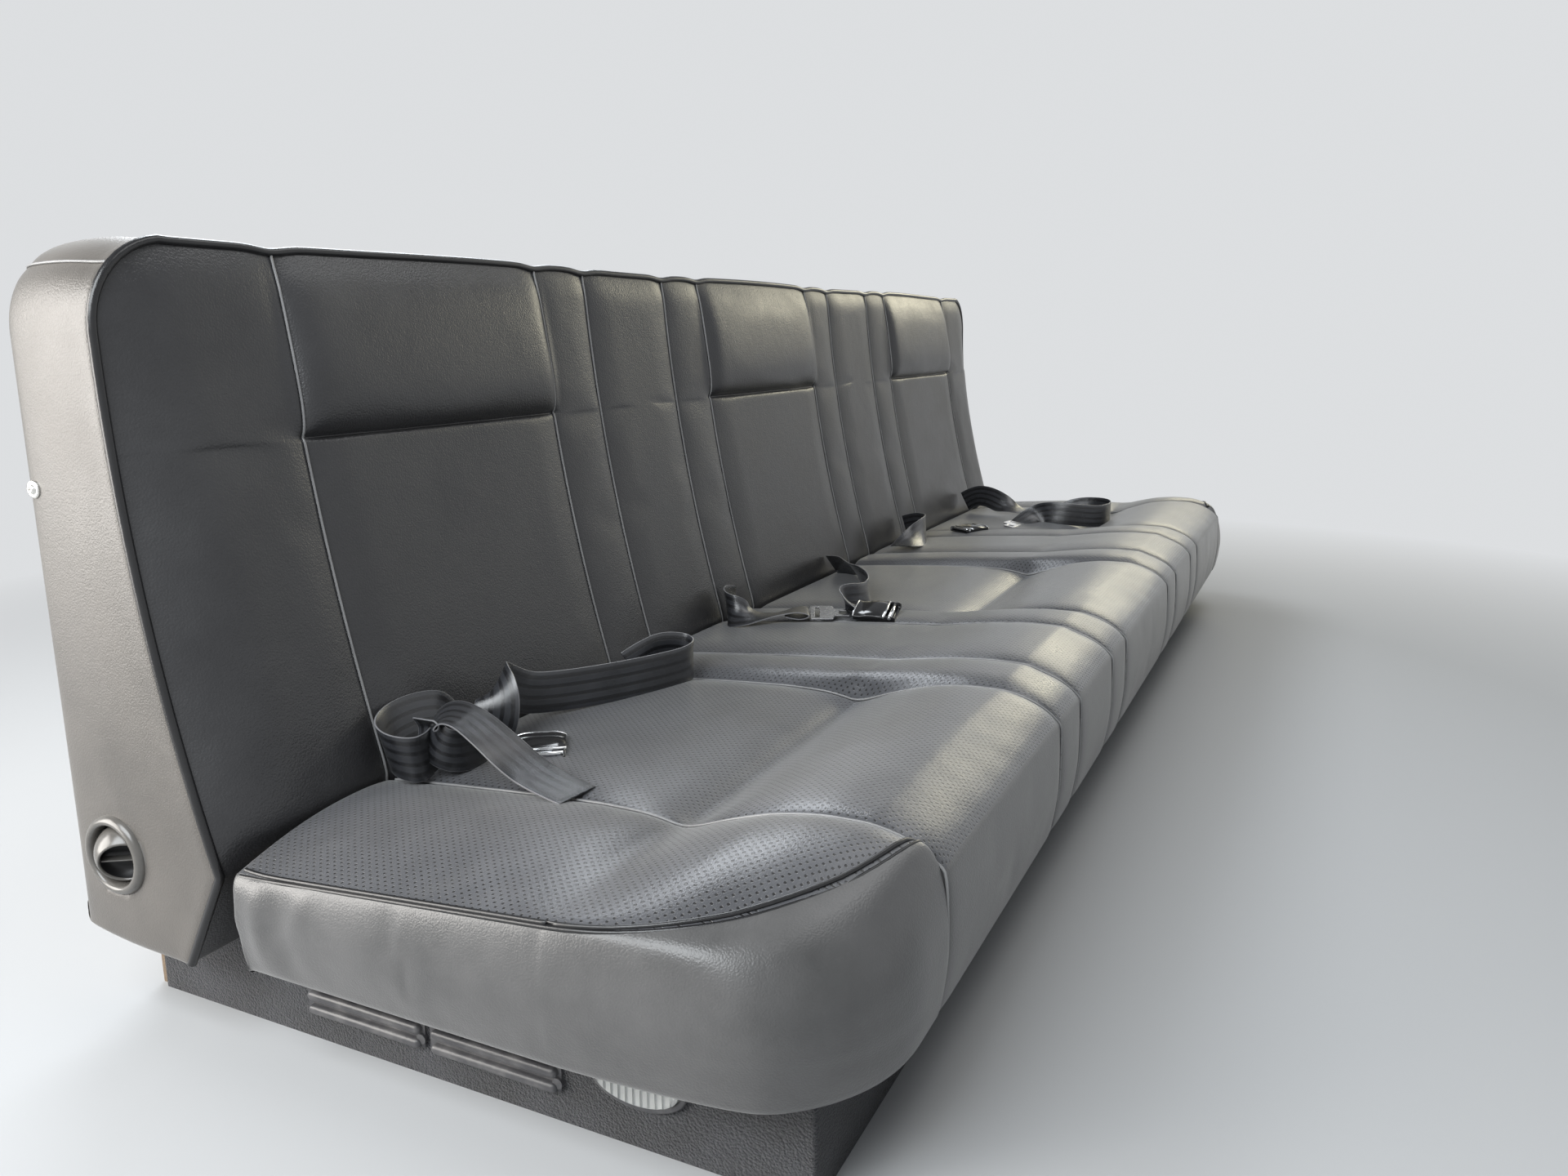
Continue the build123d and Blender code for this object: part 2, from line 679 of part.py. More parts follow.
# Buckles and tongues lie flat on the seat: a buckle is a base with two walls and a lid that lifts,
# a tongue is a plate with a slot for its webbing
# Columns: number, seam, section of the seat under the buckle, its x, y and turn, and the same for the tongue
fittings = (
    (1, 0, seat_heights, 93, 68, 35, seat_heights, 313, 115, -25),
    (2, 4, strip_heights, -79, -56, 99, strip_heights, -95, 26, 115),
    (3, 7, strip_heights, 58, 60, -30, seat_heights, 184, -10, -10),
)
lid_length = buckle_length * 0.8
slot_height = buckle_height - 2 * buckle_wall
for number, seam, buckle_heights, bx, by, buckle_turn, tongue_heights, tx, ty, tongue_turn in fittings:
    buckle_reach = front_reach(buckle_turn, buckle_length / 2, buckle_length / 2, buckle_width)
    buckle_z = seat_top(buckle_heights, by - buckle_reach) + seat_clear
    buckle_plane = Plane((seams[seam] + bx, by, buckle_z), x_dir=(1, 0, 0)).rotated((0, 0, buckle_turn))
    with BuildPart() as buckle:
        with BuildSketch(buckle_plane):
            RectangleRounded(buckle_length, buckle_width, buckle_wall * 2)
        extrude(amount=buckle_height)
        fillet(buckle.edges().group_by(Axis.Z)[-1], buckle_wall * 0.8)
        with BuildSketch(buckle_plane.offset(buckle_wall)):
            Rectangle(buckle_length, buckle_width - 2 * buckle_wall)
        extrude(amount=slot_height, mode=Mode.SUBTRACT)
        with BuildSketch(buckle_plane.offset(buckle_wall)):
            with Locations((-buckle_length * 0.3, 0)):
                Rectangle(buckle_wall, buckle_width - 2 * buckle_wall)
        extrude(amount=slot_height)
        with BuildSketch(buckle_plane.offset(buckle_height)):
            with Locations((buckle_length * 0.04, 0)):
                RectangleRounded(lid_length, buckle_width - 4 * buckle_wall, buckle_wall)
        extrude(amount=lid_thick / 2)
    buckle.part.label = f"belt_{number}_buckle"
    export_step(buckle.part, f"parts/belt_{number}_buckle.step")

    tongue_reach = front_reach(tongue_turn, tongue_length * 0.65, tongue_length * 0.25, tongue_width)
    tongue_z = seat_top(tongue_heights, ty - tongue_reach) + seat_clear
    tongue_plane = Plane((seams[seam] + tx, ty, tongue_z), x_dir=(1, 0, 0)).rotated((0, 0, tongue_turn))
    with BuildPart() as tongue:
        with BuildSketch(tongue_plane):
            RectangleRounded(tongue_length * 0.5, tongue_width, 6)
            with Locations((-tongue_length * 0.4, 0)):
                RectangleRounded(tongue_length * 0.5, tongue_width * 0.5, 4)
            with Locations((tongue_length * 0.1, 0)):
                SlotOverall(tongue_width * 0.8, 7, rotation=90, mode=Mode.SUBTRACT)
            with Locations((-tongue_length * 0.42, 0)):
                RectangleRounded(tongue_length * 0.2, tongue_width * 0.22, 2, mode=Mode.SUBTRACT)
        extrude(amount=tongue_thick)
    tongue.part.label = f"belt_{number}_tongue"
    export_step(tongue.part, f"parts/belt_{number}_tongue.step")
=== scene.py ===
import math

import bmesh
import bpy
from mathutils import Euler, Matrix, Vector


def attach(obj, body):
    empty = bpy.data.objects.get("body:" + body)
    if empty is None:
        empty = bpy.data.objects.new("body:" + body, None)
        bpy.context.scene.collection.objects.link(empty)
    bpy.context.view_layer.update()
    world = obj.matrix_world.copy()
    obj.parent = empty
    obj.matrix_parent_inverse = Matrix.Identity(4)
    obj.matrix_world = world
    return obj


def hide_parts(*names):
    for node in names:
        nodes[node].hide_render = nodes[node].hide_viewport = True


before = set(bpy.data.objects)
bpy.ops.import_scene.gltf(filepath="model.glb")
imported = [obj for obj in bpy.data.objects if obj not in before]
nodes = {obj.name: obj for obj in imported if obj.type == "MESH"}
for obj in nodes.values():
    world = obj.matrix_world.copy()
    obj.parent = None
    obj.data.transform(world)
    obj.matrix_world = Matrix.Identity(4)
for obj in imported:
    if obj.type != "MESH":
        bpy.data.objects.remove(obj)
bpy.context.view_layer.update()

scene = bpy.context.scene
scene.view_settings.view_transform = "Standard"


# Camera
# It stands close to the near end, in front of the seat and a little above it, and looks along the bench.
# The lens is given by the picture's 1920 pixels of width.
eye = bpy.data.cameras.new("camera")
eye.sensor_width = 36
eye.lens = 1443 / 1920 * eye.sensor_width
eye.clip_start = 0.02
camera = bpy.data.objects.new("camera", eye)
scene.collection.objects.link(camera)
yaw, pitch = math.radians(25.516), math.radians(12.314)
sight = Vector((math.cos(pitch) * math.cos(yaw), math.cos(pitch) * math.sin(yaw), -math.sin(pitch)))
camera.matrix_world = Matrix.Translation((-1.850, -0.654, 0.6565)) @ sight.to_track_quat("-Z", "Y").to_matrix().to_4x4()
scene.camera = camera


# Studio floor and backdrop
# A pale floor that curves up into a round backdrop, so that no horizon shows behind the bench.
def node(tree, kind, inputs=(), **settings):
    made = tree.nodes.new(kind)
    for name, value in settings.items():
        setattr(made, name, value)
    for name, value in dict(inputs).items():
        if isinstance(value, bpy.types.NodeSocket):
            tree.links.new(value, made.inputs[name])
        else:
            made.inputs[name].default_value = value
    return made


def new_material(name):
    material = bpy.data.materials.new(name)
    material.use_nodes = True
    material.node_tree.nodes.clear()
    return material, material.node_tree


def surface(tree, shader):
    node(tree, "ShaderNodeOutputMaterial", {"Surface": shader})


def object_from(name, bm):
    mesh = bpy.data.meshes.new(name)
    bm.to_mesh(mesh)
    bm.free()
    for polygon in mesh.polygons:
        polygon.use_smooth = True
    made = bpy.data.objects.new(name, mesh)
    scene.collection.objects.link(made)
    return made


floor_radius, floor_curve, wall_height = 6.0, 2.5, 5.0
bm = bmesh.new()
outline = [bm.verts.new((0.4 * step, 0, 0)) for step in range(1, 16)]
for step in range(1, 13):
    turn = math.pi / 2 * step / 12
    outline.append(bm.verts.new((floor_radius + floor_curve * math.sin(turn), 0, floor_curve * (1 - math.cos(turn)))))
outline.append(bm.verts.new((floor_radius + floor_curve, 0, wall_height)))
edges = [bm.edges.new(pair) for pair in zip(outline, outline[1:])]
bmesh.ops.spin(bm, geom=outline + edges, axis=(0, 0, 1), cent=(0, 0, 0), steps=64, angle=math.tau, use_merge=True)
bmesh.ops.remove_doubles(bm, verts=bm.verts, dist=1e-5)
middle_edges = [edge for edge in bm.edges if edge.is_boundary and edge.verts[0].co.xy.length < 0.5]
bmesh.ops.edgeloop_fill(bm, edges=middle_edges)
bmesh.ops.recalc_face_normals(bm, faces=bm.faces)
floor = object_from("studio_floor", bm)
material, tree = new_material("studio paper")
place = node(tree, "ShaderNodeTexCoord")
from_middle = node(tree, "ShaderNodeVectorMath", {0: place.outputs["Object"]}, operation="LENGTH")
far = node(tree, "ShaderNodeMapRange", {"Value": from_middle.outputs["Value"], "From Min": 1.2, "From Max": 2.6})
path = node(tree, "ShaderNodeLightPath")
seen = node(tree, "ShaderNodeMath", {0: path.outputs["Is Camera Ray"], 1: path.outputs["Is Glossy Ray"]}, operation="MAXIMUM")
seen = node(tree, "ShaderNodeMath", {0: seen.outputs[0], 1: path.outputs["Is Transmission Ray"]}, operation="MAXIMUM")
share = node(tree, "ShaderNodeMath", {0: seen.outputs[0], 1: far.outputs["Result"]}, operation="MULTIPLY")
paper = node(tree, "ShaderNodeBsdfDiffuse", {"Color": (0.50, 0.51, 0.52, 1)})
glow = node(tree, "ShaderNodeEmission", {"Color": (0.72, 0.735, 0.75, 1), "Strength": 1.0})
mixed = node(tree, "ShaderNodeMixShader", {0: share.outputs[0], 1: paper.outputs[0], 2: glow.outputs[0]})
surface(tree, mixed.outputs[0])
floor.data.materials.append(material)

world = bpy.data.worlds.new("studio")
scene.world = world
world.use_nodes = True
world.node_tree.nodes["Background"].inputs["Color"].default_value = (0.93, 0.96, 1, 1)
world.node_tree.nodes["Background"].inputs["Strength"].default_value = 0.30


# Studio lights
# Broad soft boxes: two beyond the near end, one behind the backrest, one overhead, and a warm one beyond
# the far end that shines along the rolled front.
# Columns: name, place, point that it faces, width, height, brightness of its face, colour
soft_boxes = (
    ("near_wall_light", (-2.75, 2.05, 0.95), (-1.1, 0.2, 0.4), 1.7, 2.1, 9.0, (1.0, 0.96, 0.91)),
    ("near_high_light", (-2.25, 0.10, 1.45), (-1.1, 0.0, 0.28), 1.2, 1.0, 8.5, (0.93, 0.97, 1.0)),
    ("over_back_light", (0.25, 1.25, 1.80), (-0.9, -0.1, 0.25), 1.4, 0.9, 8.0, (0.90, 0.95, 1.0)),
    ("overhead_light", (0.2, -0.9, 2.7), (0.0, 0.0, 0.3), 3.2, 0.8, 2.6, (1.0, 1.0, 1.0)),
    ("far_end_light", (3.6, -0.45, 1.75), (0.0, -0.3, 0.3), 1.5, 0.8, 6.5, (1.0, 0.93, 0.68)),
)
for name, stands, faces, width, height, bright, colour in soft_boxes:
    light = bpy.data.lights.new(name, "AREA")
    light.shape = "RECTANGLE"
    light.size, light.size_y = width, height
    light.energy = bright * math.pi * width * height
    light.color = colour
    lamp = bpy.data.objects.new(name, light)
    lamp.matrix_world = Matrix.Translation(stands) @ (Vector(faces) - Vector(stands)).to_track_quat("-Z", "Y").to_matrix().to_4x4()
    scene.collection.objects.link(lamp)


# Plinth boards, deck and back panel
# Birch plywood cut square, showing its face veneer.
# The boards are glued and screwed together inside the carpet; the CAD solids are shown as they are.
def grain_group():
    group = bpy.data.node_groups.new("wood grain", "ShaderNodeTree")
    for name in ("Vector",):
        group.interface.new_socket(name, in_out="INPUT", socket_type="NodeSocketVector")
    for name in ("Figure", "Height"):
        group.interface.new_socket(name, in_out="OUTPUT", socket_type="NodeSocketFloat")
    start = node(group, "NodeGroupInput")
    stretched = node(group, "ShaderNodeVectorMath", {0: start.outputs["Vector"], 1: (1.2, 30, 30)}, operation="MULTIPLY")
    rings = node(group, "ShaderNodeTexNoise", {"Vector": stretched.outputs[0], "Scale": 1.0, "Detail": 6.0, "Distortion": 0.6})
    fine = node(group, "ShaderNodeVectorMath", {0: start.outputs["Vector"], 1: (25, 700, 700)}, operation="MULTIPLY")
    pores = node(group, "ShaderNodeTexNoise", {"Vector": fine.outputs[0], "Scale": 1.0, "Detail": 3.0})
    figure = node(group, "ShaderNodeMath", {0: rings.outputs[0], 1: pores.outputs[0]}, operation="MULTIPLY")
    node(group, "NodeGroupOutput", {"Figure": figure.outputs[0], "Height": pores.outputs[0]})
    return group


wood_grain = grain_group()
plywood, tree = new_material("birch plywood")
place = node(tree, "ShaderNodeTexCoord")
grain = node(tree, "ShaderNodeGroup", {}, node_tree=wood_grain)
tree.links.new(place.outputs["Object"], grain.inputs["Vector"])
colour = node(tree, "ShaderNodeValToRGB", {"Fac": grain.outputs["Figure"]})
colour.color_ramp.elements[0].position, colour.color_ramp.elements[0].color = 0.12, (0.150, 0.105, 0.068, 1)
colour.color_ramp.elements[1].position, colour.color_ramp.elements[1].color = 0.42, (0.300, 0.225, 0.150, 1)
bump = node(tree, "ShaderNodeBump", {"Strength": 0.35, "Distance": 0.0006, "Height": grain.outputs["Height"]})
wood = node(tree, "ShaderNodeBsdfPrincipled", {"Base Color": colour.outputs[0], "Roughness": 0.62, "Normal": bump.outputs[0]})
surface(tree, wood.outputs[0])
for name in ("plinth_front_board", "plinth_near_end_board", "plinth_far_end_board", "plinth_rib_1", "plinth_rib_2",
             "plinth_rib_3", "seat_deck", "back_panel", "cushion_board"):
    nodes[name].data.materials.clear()
    nodes[name].data.materials.append(plywood)


# Floor angles and wall brackets
# Folded zinc-plated steel, with the cloudy spangle of the plating.
zinc, tree = new_material("zinc plated steel")
place = node(tree, "ShaderNodeTexCoord")
spangle = node(tree, "ShaderNodeTexVoronoi", {"Vector": place.outputs["Object"], "Scale": 160.0}, feature="F1")
cloud = node(tree, "ShaderNodeTexNoise", {"Vector": place.outputs["Object"], "Scale": 35.0, "Detail": 5.0})
tone = node(tree, "ShaderNodeMixRGB", {"Fac": cloud.outputs[0], "Color1": (0.42, 0.44, 0.45, 1), "Color2": (0.64, 0.66, 0.68, 1)})
rough = node(tree, "ShaderNodeMapRange", {"Value": spangle.outputs["Color"], "To Min": 0.28, "To Max": 0.5})
zinc_shader = node(tree, "ShaderNodeBsdfPrincipled", {"Base Color": tone.outputs[0], "Metallic": 1.0, "Roughness": rough.outputs[0]})
surface(tree, zinc_shader.outputs[0])
for name in nodes:
    if name.startswith(("floor_angle", "wall_bracket")):
        nodes[name].data.materials.clear()
        nodes[name].data.materials.append(zinc)


# Carpet on the plinth
# Charcoal cut-pile car carpet, glued to the boards, with lighter fibre ends and some lint in it.
carpet, tree = new_material("charcoal carpet")
place = node(tree, "ShaderNodeTexCoord")
pile = node(tree, "ShaderNodeTexNoise", {"Vector": place.outputs["Object"], "Scale": 900.0, "Detail": 4.0, "Roughness": 0.8})
tufts = node(tree, "ShaderNodeTexVoronoi", {"Vector": place.outputs["Object"], "Scale": 430.0, "Randomness": 1.0})
worn = node(tree, "ShaderNodeTexNoise", {"Vector": place.outputs["Object"], "Scale": 14.0, "Detail": 4.0})
mix = node(tree, "ShaderNodeMath", {0: pile.outputs[0], 1: worn.outputs[0]}, operation="MULTIPLY")
colour = node(tree, "ShaderNodeValToRGB", {"Fac": mix.outputs[0]})
colour.color_ramp.elements[0].position, colour.color_ramp.elements[0].color = 0.14, (0.006, 0.0065, 0.009, 1)
colour.color_ramp.elements[1].position, colour.color_ramp.elements[1].color = 0.42, (0.044, 0.047, 0.058, 1)
height = node(tree, "ShaderNodeMath", {0: pile.outputs[0], 1: tufts.outputs["Distance"]}, operation="SUBTRACT")
bump = node(tree, "ShaderNodeBump", {"Strength": 0.9, "Distance": 0.0026, "Height": height.outputs[0]})
pile_shader = node(tree, "ShaderNodeBsdfPrincipled", {
    "Base Color": colour.outputs[0], "Roughness": 0.95, "Specular IOR Level": 0.15, "Sheen Weight": 0.35,
    "Sheen Roughness": 0.6, "Normal": bump.outputs[0]})
surface(tree, pile_shader.outputs[0])
for name in ("carpet_front", "carpet_near_end", "carpet_far_end"):
    nodes[name].data.materials.clear()
    nodes[name].data.materials.append(carpet)


# Vents, lamp and outlet
# Moulded black plastic with a fine spark-eroded texture.
plastic, tree = new_material("black moulded plastic")
place = node(tree, "ShaderNodeTexCoord")
spark = node(tree, "ShaderNodeTexNoise", {"Vector": place.outputs["Object"], "Scale": 1400.0, "Detail": 3.0})
dust = node(tree, "ShaderNodeTexNoise", {"Vector": place.outputs["Object"], "Scale": 45.0, "Detail": 6.0})
colour = node(tree, "ShaderNodeValToRGB", {"Fac": dust.outputs[0]})
colour.color_ramp.elements[0].position, colour.color_ramp.elements[0].color = 0.45, (0.075, 0.075, 0.080, 1)
colour.color_ramp.elements[1].position, colour.color_ramp.elements[1].color = 0.75, (0.165, 0.162, 0.163, 1)
rough = node(tree, "ShaderNodeMapRange", {"Value": dust.outputs[0], "To Min": 0.22, "To Max": 0.40})
bump = node(tree, "ShaderNodeBump", {"Strength": 0.25, "Distance": 0.0003, "Height": spark.outputs[0]})
plastic_shader = node(tree, "ShaderNodeBsdfPrincipled", {
    "Base Color": colour.outputs[0], "Roughness": rough.outputs[0], "Normal": bump.outputs[0]})
surface(tree, plastic_shader.outputs[0])
for name in ("end_vent_1", "end_vent_2", "lamp_bezel", "outlet_bezel", "outlet_ball"):
    nodes[name].data.materials.clear()
    nodes[name].data.materials.append(plastic)

lens, tree = new_material("clear moulded lens")
place = node(tree, "ShaderNodeTexCoord")
smear = node(tree, "ShaderNodeTexNoise", {"Vector": place.outputs["Object"], "Scale": 90.0, "Detail": 4.0})
rough = node(tree, "ShaderNodeMapRange", {"Value": smear.outputs[0], "To Min": 0.05, "To Max": 0.2})
lens_shader = node(tree, "ShaderNodeBsdfPrincipled", {
    "Base Color": (0.90, 0.92, 0.91, 1), "Roughness": rough.outputs[0], "IOR": 1.49, "Transmission Weight": 0.55})
surface(tree, lens_shader.outputs[0])
nodes["lamp_lens"].data.materials.clear()
nodes["lamp_lens"].data.materials.append(lens)


# Leather of the whole bench
# Charcoal black upholstery leather with a fine pebbled grain, faintly dusty, glossier where it is rubbed.
# Its copies are painted lighter where lit and darker where shaded, and the seam ridges carry painted highlights.
# The top of the seat is perforated: staggered rows of small punched holes, painted near black as painted shade inside
# them.
def pebble_group():
    group = bpy.data.node_groups.new("pebbled grain", "ShaderNodeTree")
    group.interface.new_socket("Vector", in_out="INPUT", socket_type="NodeSocketVector")
    group.interface.new_socket("Size", in_out="INPUT", socket_type="NodeSocketFloat")
    for name in ("Height", "Mottle"):
        group.interface.new_socket(name, in_out="OUTPUT", socket_type="NodeSocketFloat")
    start = node(group, "NodeGroupInput")
    scale = node(group, "ShaderNodeMath", {0: 1.0, 1: start.outputs["Size"]}, operation="DIVIDE")
    warp = node(group, "ShaderNodeTexNoise", {"Vector": start.outputs["Vector"], "Scale": 180.0, "Detail": 2.0})
    warped = node(group, "ShaderNodeVectorMath", {0: warp.outputs["Color"], 1: (0.0016, 0.0016, 0.0016), 2: start.outputs["Vector"]}, operation="MULTIPLY_ADD")
    cells = node(group, "ShaderNodeTexVoronoi", {"Vector": warped.outputs[0], "Scale": scale.outputs[0]}, feature="SMOOTH_F1")
    cells.inputs["Smoothness"].default_value = 0.6
    domes = node(group, "ShaderNodeMath", {0: 1.0, 1: cells.outputs["Distance"]}, operation="SUBTRACT")
    creases = node(group, "ShaderNodeTexNoise", {"Vector": start.outputs["Vector"], "Scale": 55.0, "Detail": 5.0, "Roughness": 0.6})
    height = node(group, "ShaderNodeMath", {0: creases.outputs[0], 1: 1.3, 2: domes.outputs[0]}, operation="MULTIPLY_ADD")
    broad = node(group, "ShaderNodeTexNoise", {"Vector": start.outputs["Vector"], "Scale": 9.0, "Detail": 6.0, "Roughness": 0.62})
    node(group, "NodeGroupOutput", {"Height": height.outputs[0], "Mottle": broad.outputs[0]})
    return group


def holes_group():
    group = bpy.data.node_groups.new("punched holes", "ShaderNodeTree")
    group.interface.new_socket("Vector", in_out="INPUT", socket_type="NodeSocketVector")
    group.interface.new_socket("Pitch", in_out="INPUT", socket_type="NodeSocketFloat")
    group.interface.new_socket("Hole", in_out="INPUT", socket_type="NodeSocketFloat")
    group.interface.new_socket("Mask", in_out="OUTPUT", socket_type="NodeSocketFloat")
    start = node(group, "NodeGroupInput")
    scale = node(group, "ShaderNodeMath", {0: 1.0, 1: start.outputs["Pitch"]}, operation="DIVIDE")
    cell = node(group, "ShaderNodeVectorMath", {0: start.outputs["Vector"], "Scale": scale.outputs[0]}, operation="SCALE")
    nearest = []
    for shift in ((0, 0, 0), (0.5, 0.5, 0)):
        moved = node(group, "ShaderNodeVectorMath", {0: cell.outputs[0], 1: shift}, operation="ADD")
        inside = node(group, "ShaderNodeVectorMath", {0: moved.outputs[0]}, operation="FRACTION")
        centred = node(group, "ShaderNodeVectorMath", {0: inside.outputs[0], 1: (0.5, 0.5, 0)}, operation="SUBTRACT")
        flat = node(group, "ShaderNodeVectorMath", {0: centred.outputs[0], 1: (1, 1, 0)}, operation="MULTIPLY")
        nearest.append(node(group, "ShaderNodeVectorMath", {0: flat.outputs[0]}, operation="LENGTH"))
    least = node(group, "ShaderNodeMath", {0: nearest[0].outputs["Value"], 1: nearest[1].outputs["Value"]}, operation="MINIMUM")
    wide = node(group, "ShaderNodeMath", {0: start.outputs["Hole"], 1: 1.5}, operation="MULTIPLY")
    mask = node(group, "ShaderNodeMapRange", {
        "Value": least.outputs[0], "From Min": start.outputs["Hole"], "From Max": wide.outputs[0], "To Min": 1.0, "To Max": 0.0},
        interpolation_type="SMOOTHSTEP")
    node(group, "NodeGroupOutput", {"Mask": mask.outputs[0]})
    return group


pebbled_grain = pebble_group()
punched_holes = holes_group()


def leather(name, dark, light, grain_size, depth, low_rough, high_rough, sheen, punched=False):
    material, tree = new_material(name)
    place = node(tree, "ShaderNodeTexCoord")
    grain = node(tree, "ShaderNodeGroup", {}, node_tree=pebbled_grain)
    tree.links.new(place.outputs["Object"], grain.inputs["Vector"])
    grain.inputs["Size"].default_value = grain_size
    colour = node(tree, "ShaderNodeMapRange", {"Value": grain.outputs["Mottle"], "From Min": 0.3, "From Max": 0.7})
    colour = node(tree, "ShaderNodeMixRGB", {"Fac": colour.outputs[0], "Color1": (*dark, 1), "Color2": (*light, 1)})
    rough = node(tree, "ShaderNodeMapRange", {"Value": grain.outputs["Mottle"], "From Min": 0.3, "From Max": 0.7,
                                              "To Min": low_rough, "To Max": high_rough})
    height, base = grain.outputs["Height"], colour.outputs[0]
    if punched:
        laid = node(tree, "ShaderNodeUVMap", uv_map="laid flat")
        holes = node(tree, "ShaderNodeGroup", {}, node_tree=punched_holes)
        tree.links.new(laid.outputs[0], holes.inputs["Vector"])
        holes.inputs["Pitch"].default_value = 0.0080
        holes.inputs["Hole"].default_value = 0.125
        # The holes are painted near black: painted shade inside them.
        base = node(tree, "ShaderNodeMixRGB", {"Fac": holes.outputs["Mask"], "Color1": base, "Color2": (0.004, 0.004, 0.005, 1)}).outputs[0]
        height = node(tree, "ShaderNodeMath", {0: holes.outputs["Mask"], 1: -4.0, 2: height}, operation="MULTIPLY_ADD").outputs[0]
    bump = node(tree, "ShaderNodeBump", {"Strength": 0.5, "Distance": depth, "Height": height})
    shader = node(tree, "ShaderNodeBsdfPrincipled", {
        "Base Color": base, "Roughness": rough.outputs[0], "Specular IOR Level": 0.6, "Sheen Weight": sheen,
        "Sheen Roughness": 0.45, "Normal": bump.outputs[0]})
    surface(tree, shader.outputs[0])
    return material


# Lit and shaded copies of one leather: the backrest face is painted darker, as shade; the boxing is painted lighter and
# warm, as lit by warm light; the gussets are painted lighter, as lit; the seat top is painted lighter and bluish, as
# lit, with a painted sky reflection.
shaded_face_leather = leather("charcoal leather painted shaded", (0.022, 0.022, 0.024), (0.040, 0.040, 0.042), 0.0019, 0.00055, 0.31, 0.45, 0.05)
lit_boxing_leather = leather("boxing leather painted lit", (0.074, 0.067, 0.059), (0.106, 0.096, 0.085), 0.0016, 0.00034, 0.32, 0.46, 0.22)
lit_gusset_leather = leather("gusset leather painted lit", (0.062, 0.062, 0.062), (0.104, 0.103, 0.103), 0.0016, 0.00034, 0.29, 0.42, 0.25)
lit_punched_leather = leather("perforated leather painted lit", (0.050, 0.052, 0.058), (0.088, 0.091, 0.100), 0.0015, 0.00036, 0.27, 0.40, 0.34, True)
welt_leather = leather("piping leather", (0.008, 0.008, 0.009), (0.016, 0.016, 0.017), 0.0010, 0.00012, 0.26, 0.36, 0.0)
# The seam ridges are painted light, as painted highlights along their raised edges.
highlight_ridge_leather = leather("seam ridges painted as highlights", (0.170, 0.170, 0.172), (0.300, 0.300, 0.300), 0.0010, 0.00010, 0.24, 0.34, 0.3)


# Backrest
# Foam on the back panel in a sewn cover: a boxing all round, and a face pad in ten sewn parts whose three
# wide ones are pillows at the top, each with a lip that hangs over a deep crease.
half_back, back_top, corner_r = 1.200, 0.734, 0.078
crease_z, boxing_foot_z, tip_y, tip_z = 0.554, 0.187, 0.255, 0.092
back_y, back_foot_z = 0.399, 0.103
seams = [-1.0135]
for width in (0.403, 0.104, 0.201, 0.104, 0.403, 0.104, 0.201, 0.104, 0.403):
    seams.append(seams[-1] + width)
pillows = [(seams[0], seams[1]), (seams[4], seams[5]), (seams[8], seams[9])]


def arc_depth(points):
    (y0, z0), (y1, z1), (y2, z2) = points
    a = math.dist(points[1], points[2])
    b = math.dist(points[0], points[2])
    c = math.dist(points[0], points[1])
    area = abs((y1 - y0) * (z2 - z0) - (y2 - y0) * (z1 - z0)) / 2
    radius = a * b * c / (4 * area)
    middle = Vector(((y0 + y2) / 2, (z0 + z2) / 2))
    chord = Vector((y2 - y0, z2 - z0))
    reach = math.sqrt(radius ** 2 - (b / 2) ** 2)
    across = Vector((-chord.y, chord.x)).normalized()
    if across.dot(Vector((y1, z1)) - middle) > 0:
        across = -across
    centre = middle + across * reach
    side = 1 if y1 > centre.x else -1
    return lambda z: centre.x + side * math.sqrt(max(radius ** 2 - (z - centre.y) ** 2, 0))


boxing_depth = arc_depth(((0.285, 0.764), (0.270, 0.456), (0.205, 0.187)))
pad_depth = arc_depth(((0.279, 0.716), (0.259, 0.554), (0.183, 0.222)))


def step_up(t):
    t = min(max(t, 0), 1)
    return t * t * (3 - 2 * t)


def roll(distance, width, power=2.3):
    return 1 - (1 - min(max(distance / width, 0), 1)) ** power


def spread(start, end, pitch, near=(0.0016, 0.0040, 0.0075, 0.0125, 0.0195)):
    inner = (end - start) - 2 * near[-1]
    count = max(round(inner / pitch), 1)
    places = [start + d for d in near]
    places += [start + near[-1] + inner * step / count for step in range(1, count)]
    places += [end - d for d in reversed(near)]
    return places


def grid(columns, rows, place):
    bm = bmesh.new()
    made = bmesh.ops.create_grid(bm, x_segments=len(columns) - 1, y_segments=len(rows) - 1, size=1.0)["verts"]
    table = {}
    for vert in made:
        column = round((vert.co.x + 1) / 2 * (len(columns) - 1))
        row = round((vert.co.y + 1) / 2 * (len(rows) - 1))
        table[column, row] = vert
    for (column, row), vert in table.items():
        vert.co = place(columns[column], rows[row])
    return bm, table


# Rows from the top down: height on a plain part, how far a pillow stands proud there, and how far it drops
face_rows = [(0.734, 0, 0), (0.7325, 0.0, 0), (0.7295, -0.0004, 0), (0.7255, -0.001, 0), (0.7195, -0.002, 0)]
face_rows += [(0.712, -0.0036, 0), (0.703, -0.0056, 0), (0.693, -0.0076, 0), (0.683, -0.0094, 0), (0.672, -0.011, 0)]
face_rows += [(0.660, -0.0124, 0), (0.648, -0.0136, 0), (0.636, -0.0146, 0), (0.624, -0.0154, 0), (0.612, -0.0159, 0)]
face_rows += [(0.601, -0.0160, 0), (0.592, -0.0156, -0.0004), (0.584, -0.0146, -0.0010), (0.577, -0.0130, -0.0016)]
face_rows += [(0.571, -0.0108, -0.0020), (0.566, -0.0080, -0.0020), (0.562, -0.0048, -0.0016), (0.559, -0.0012, -0.0010)]
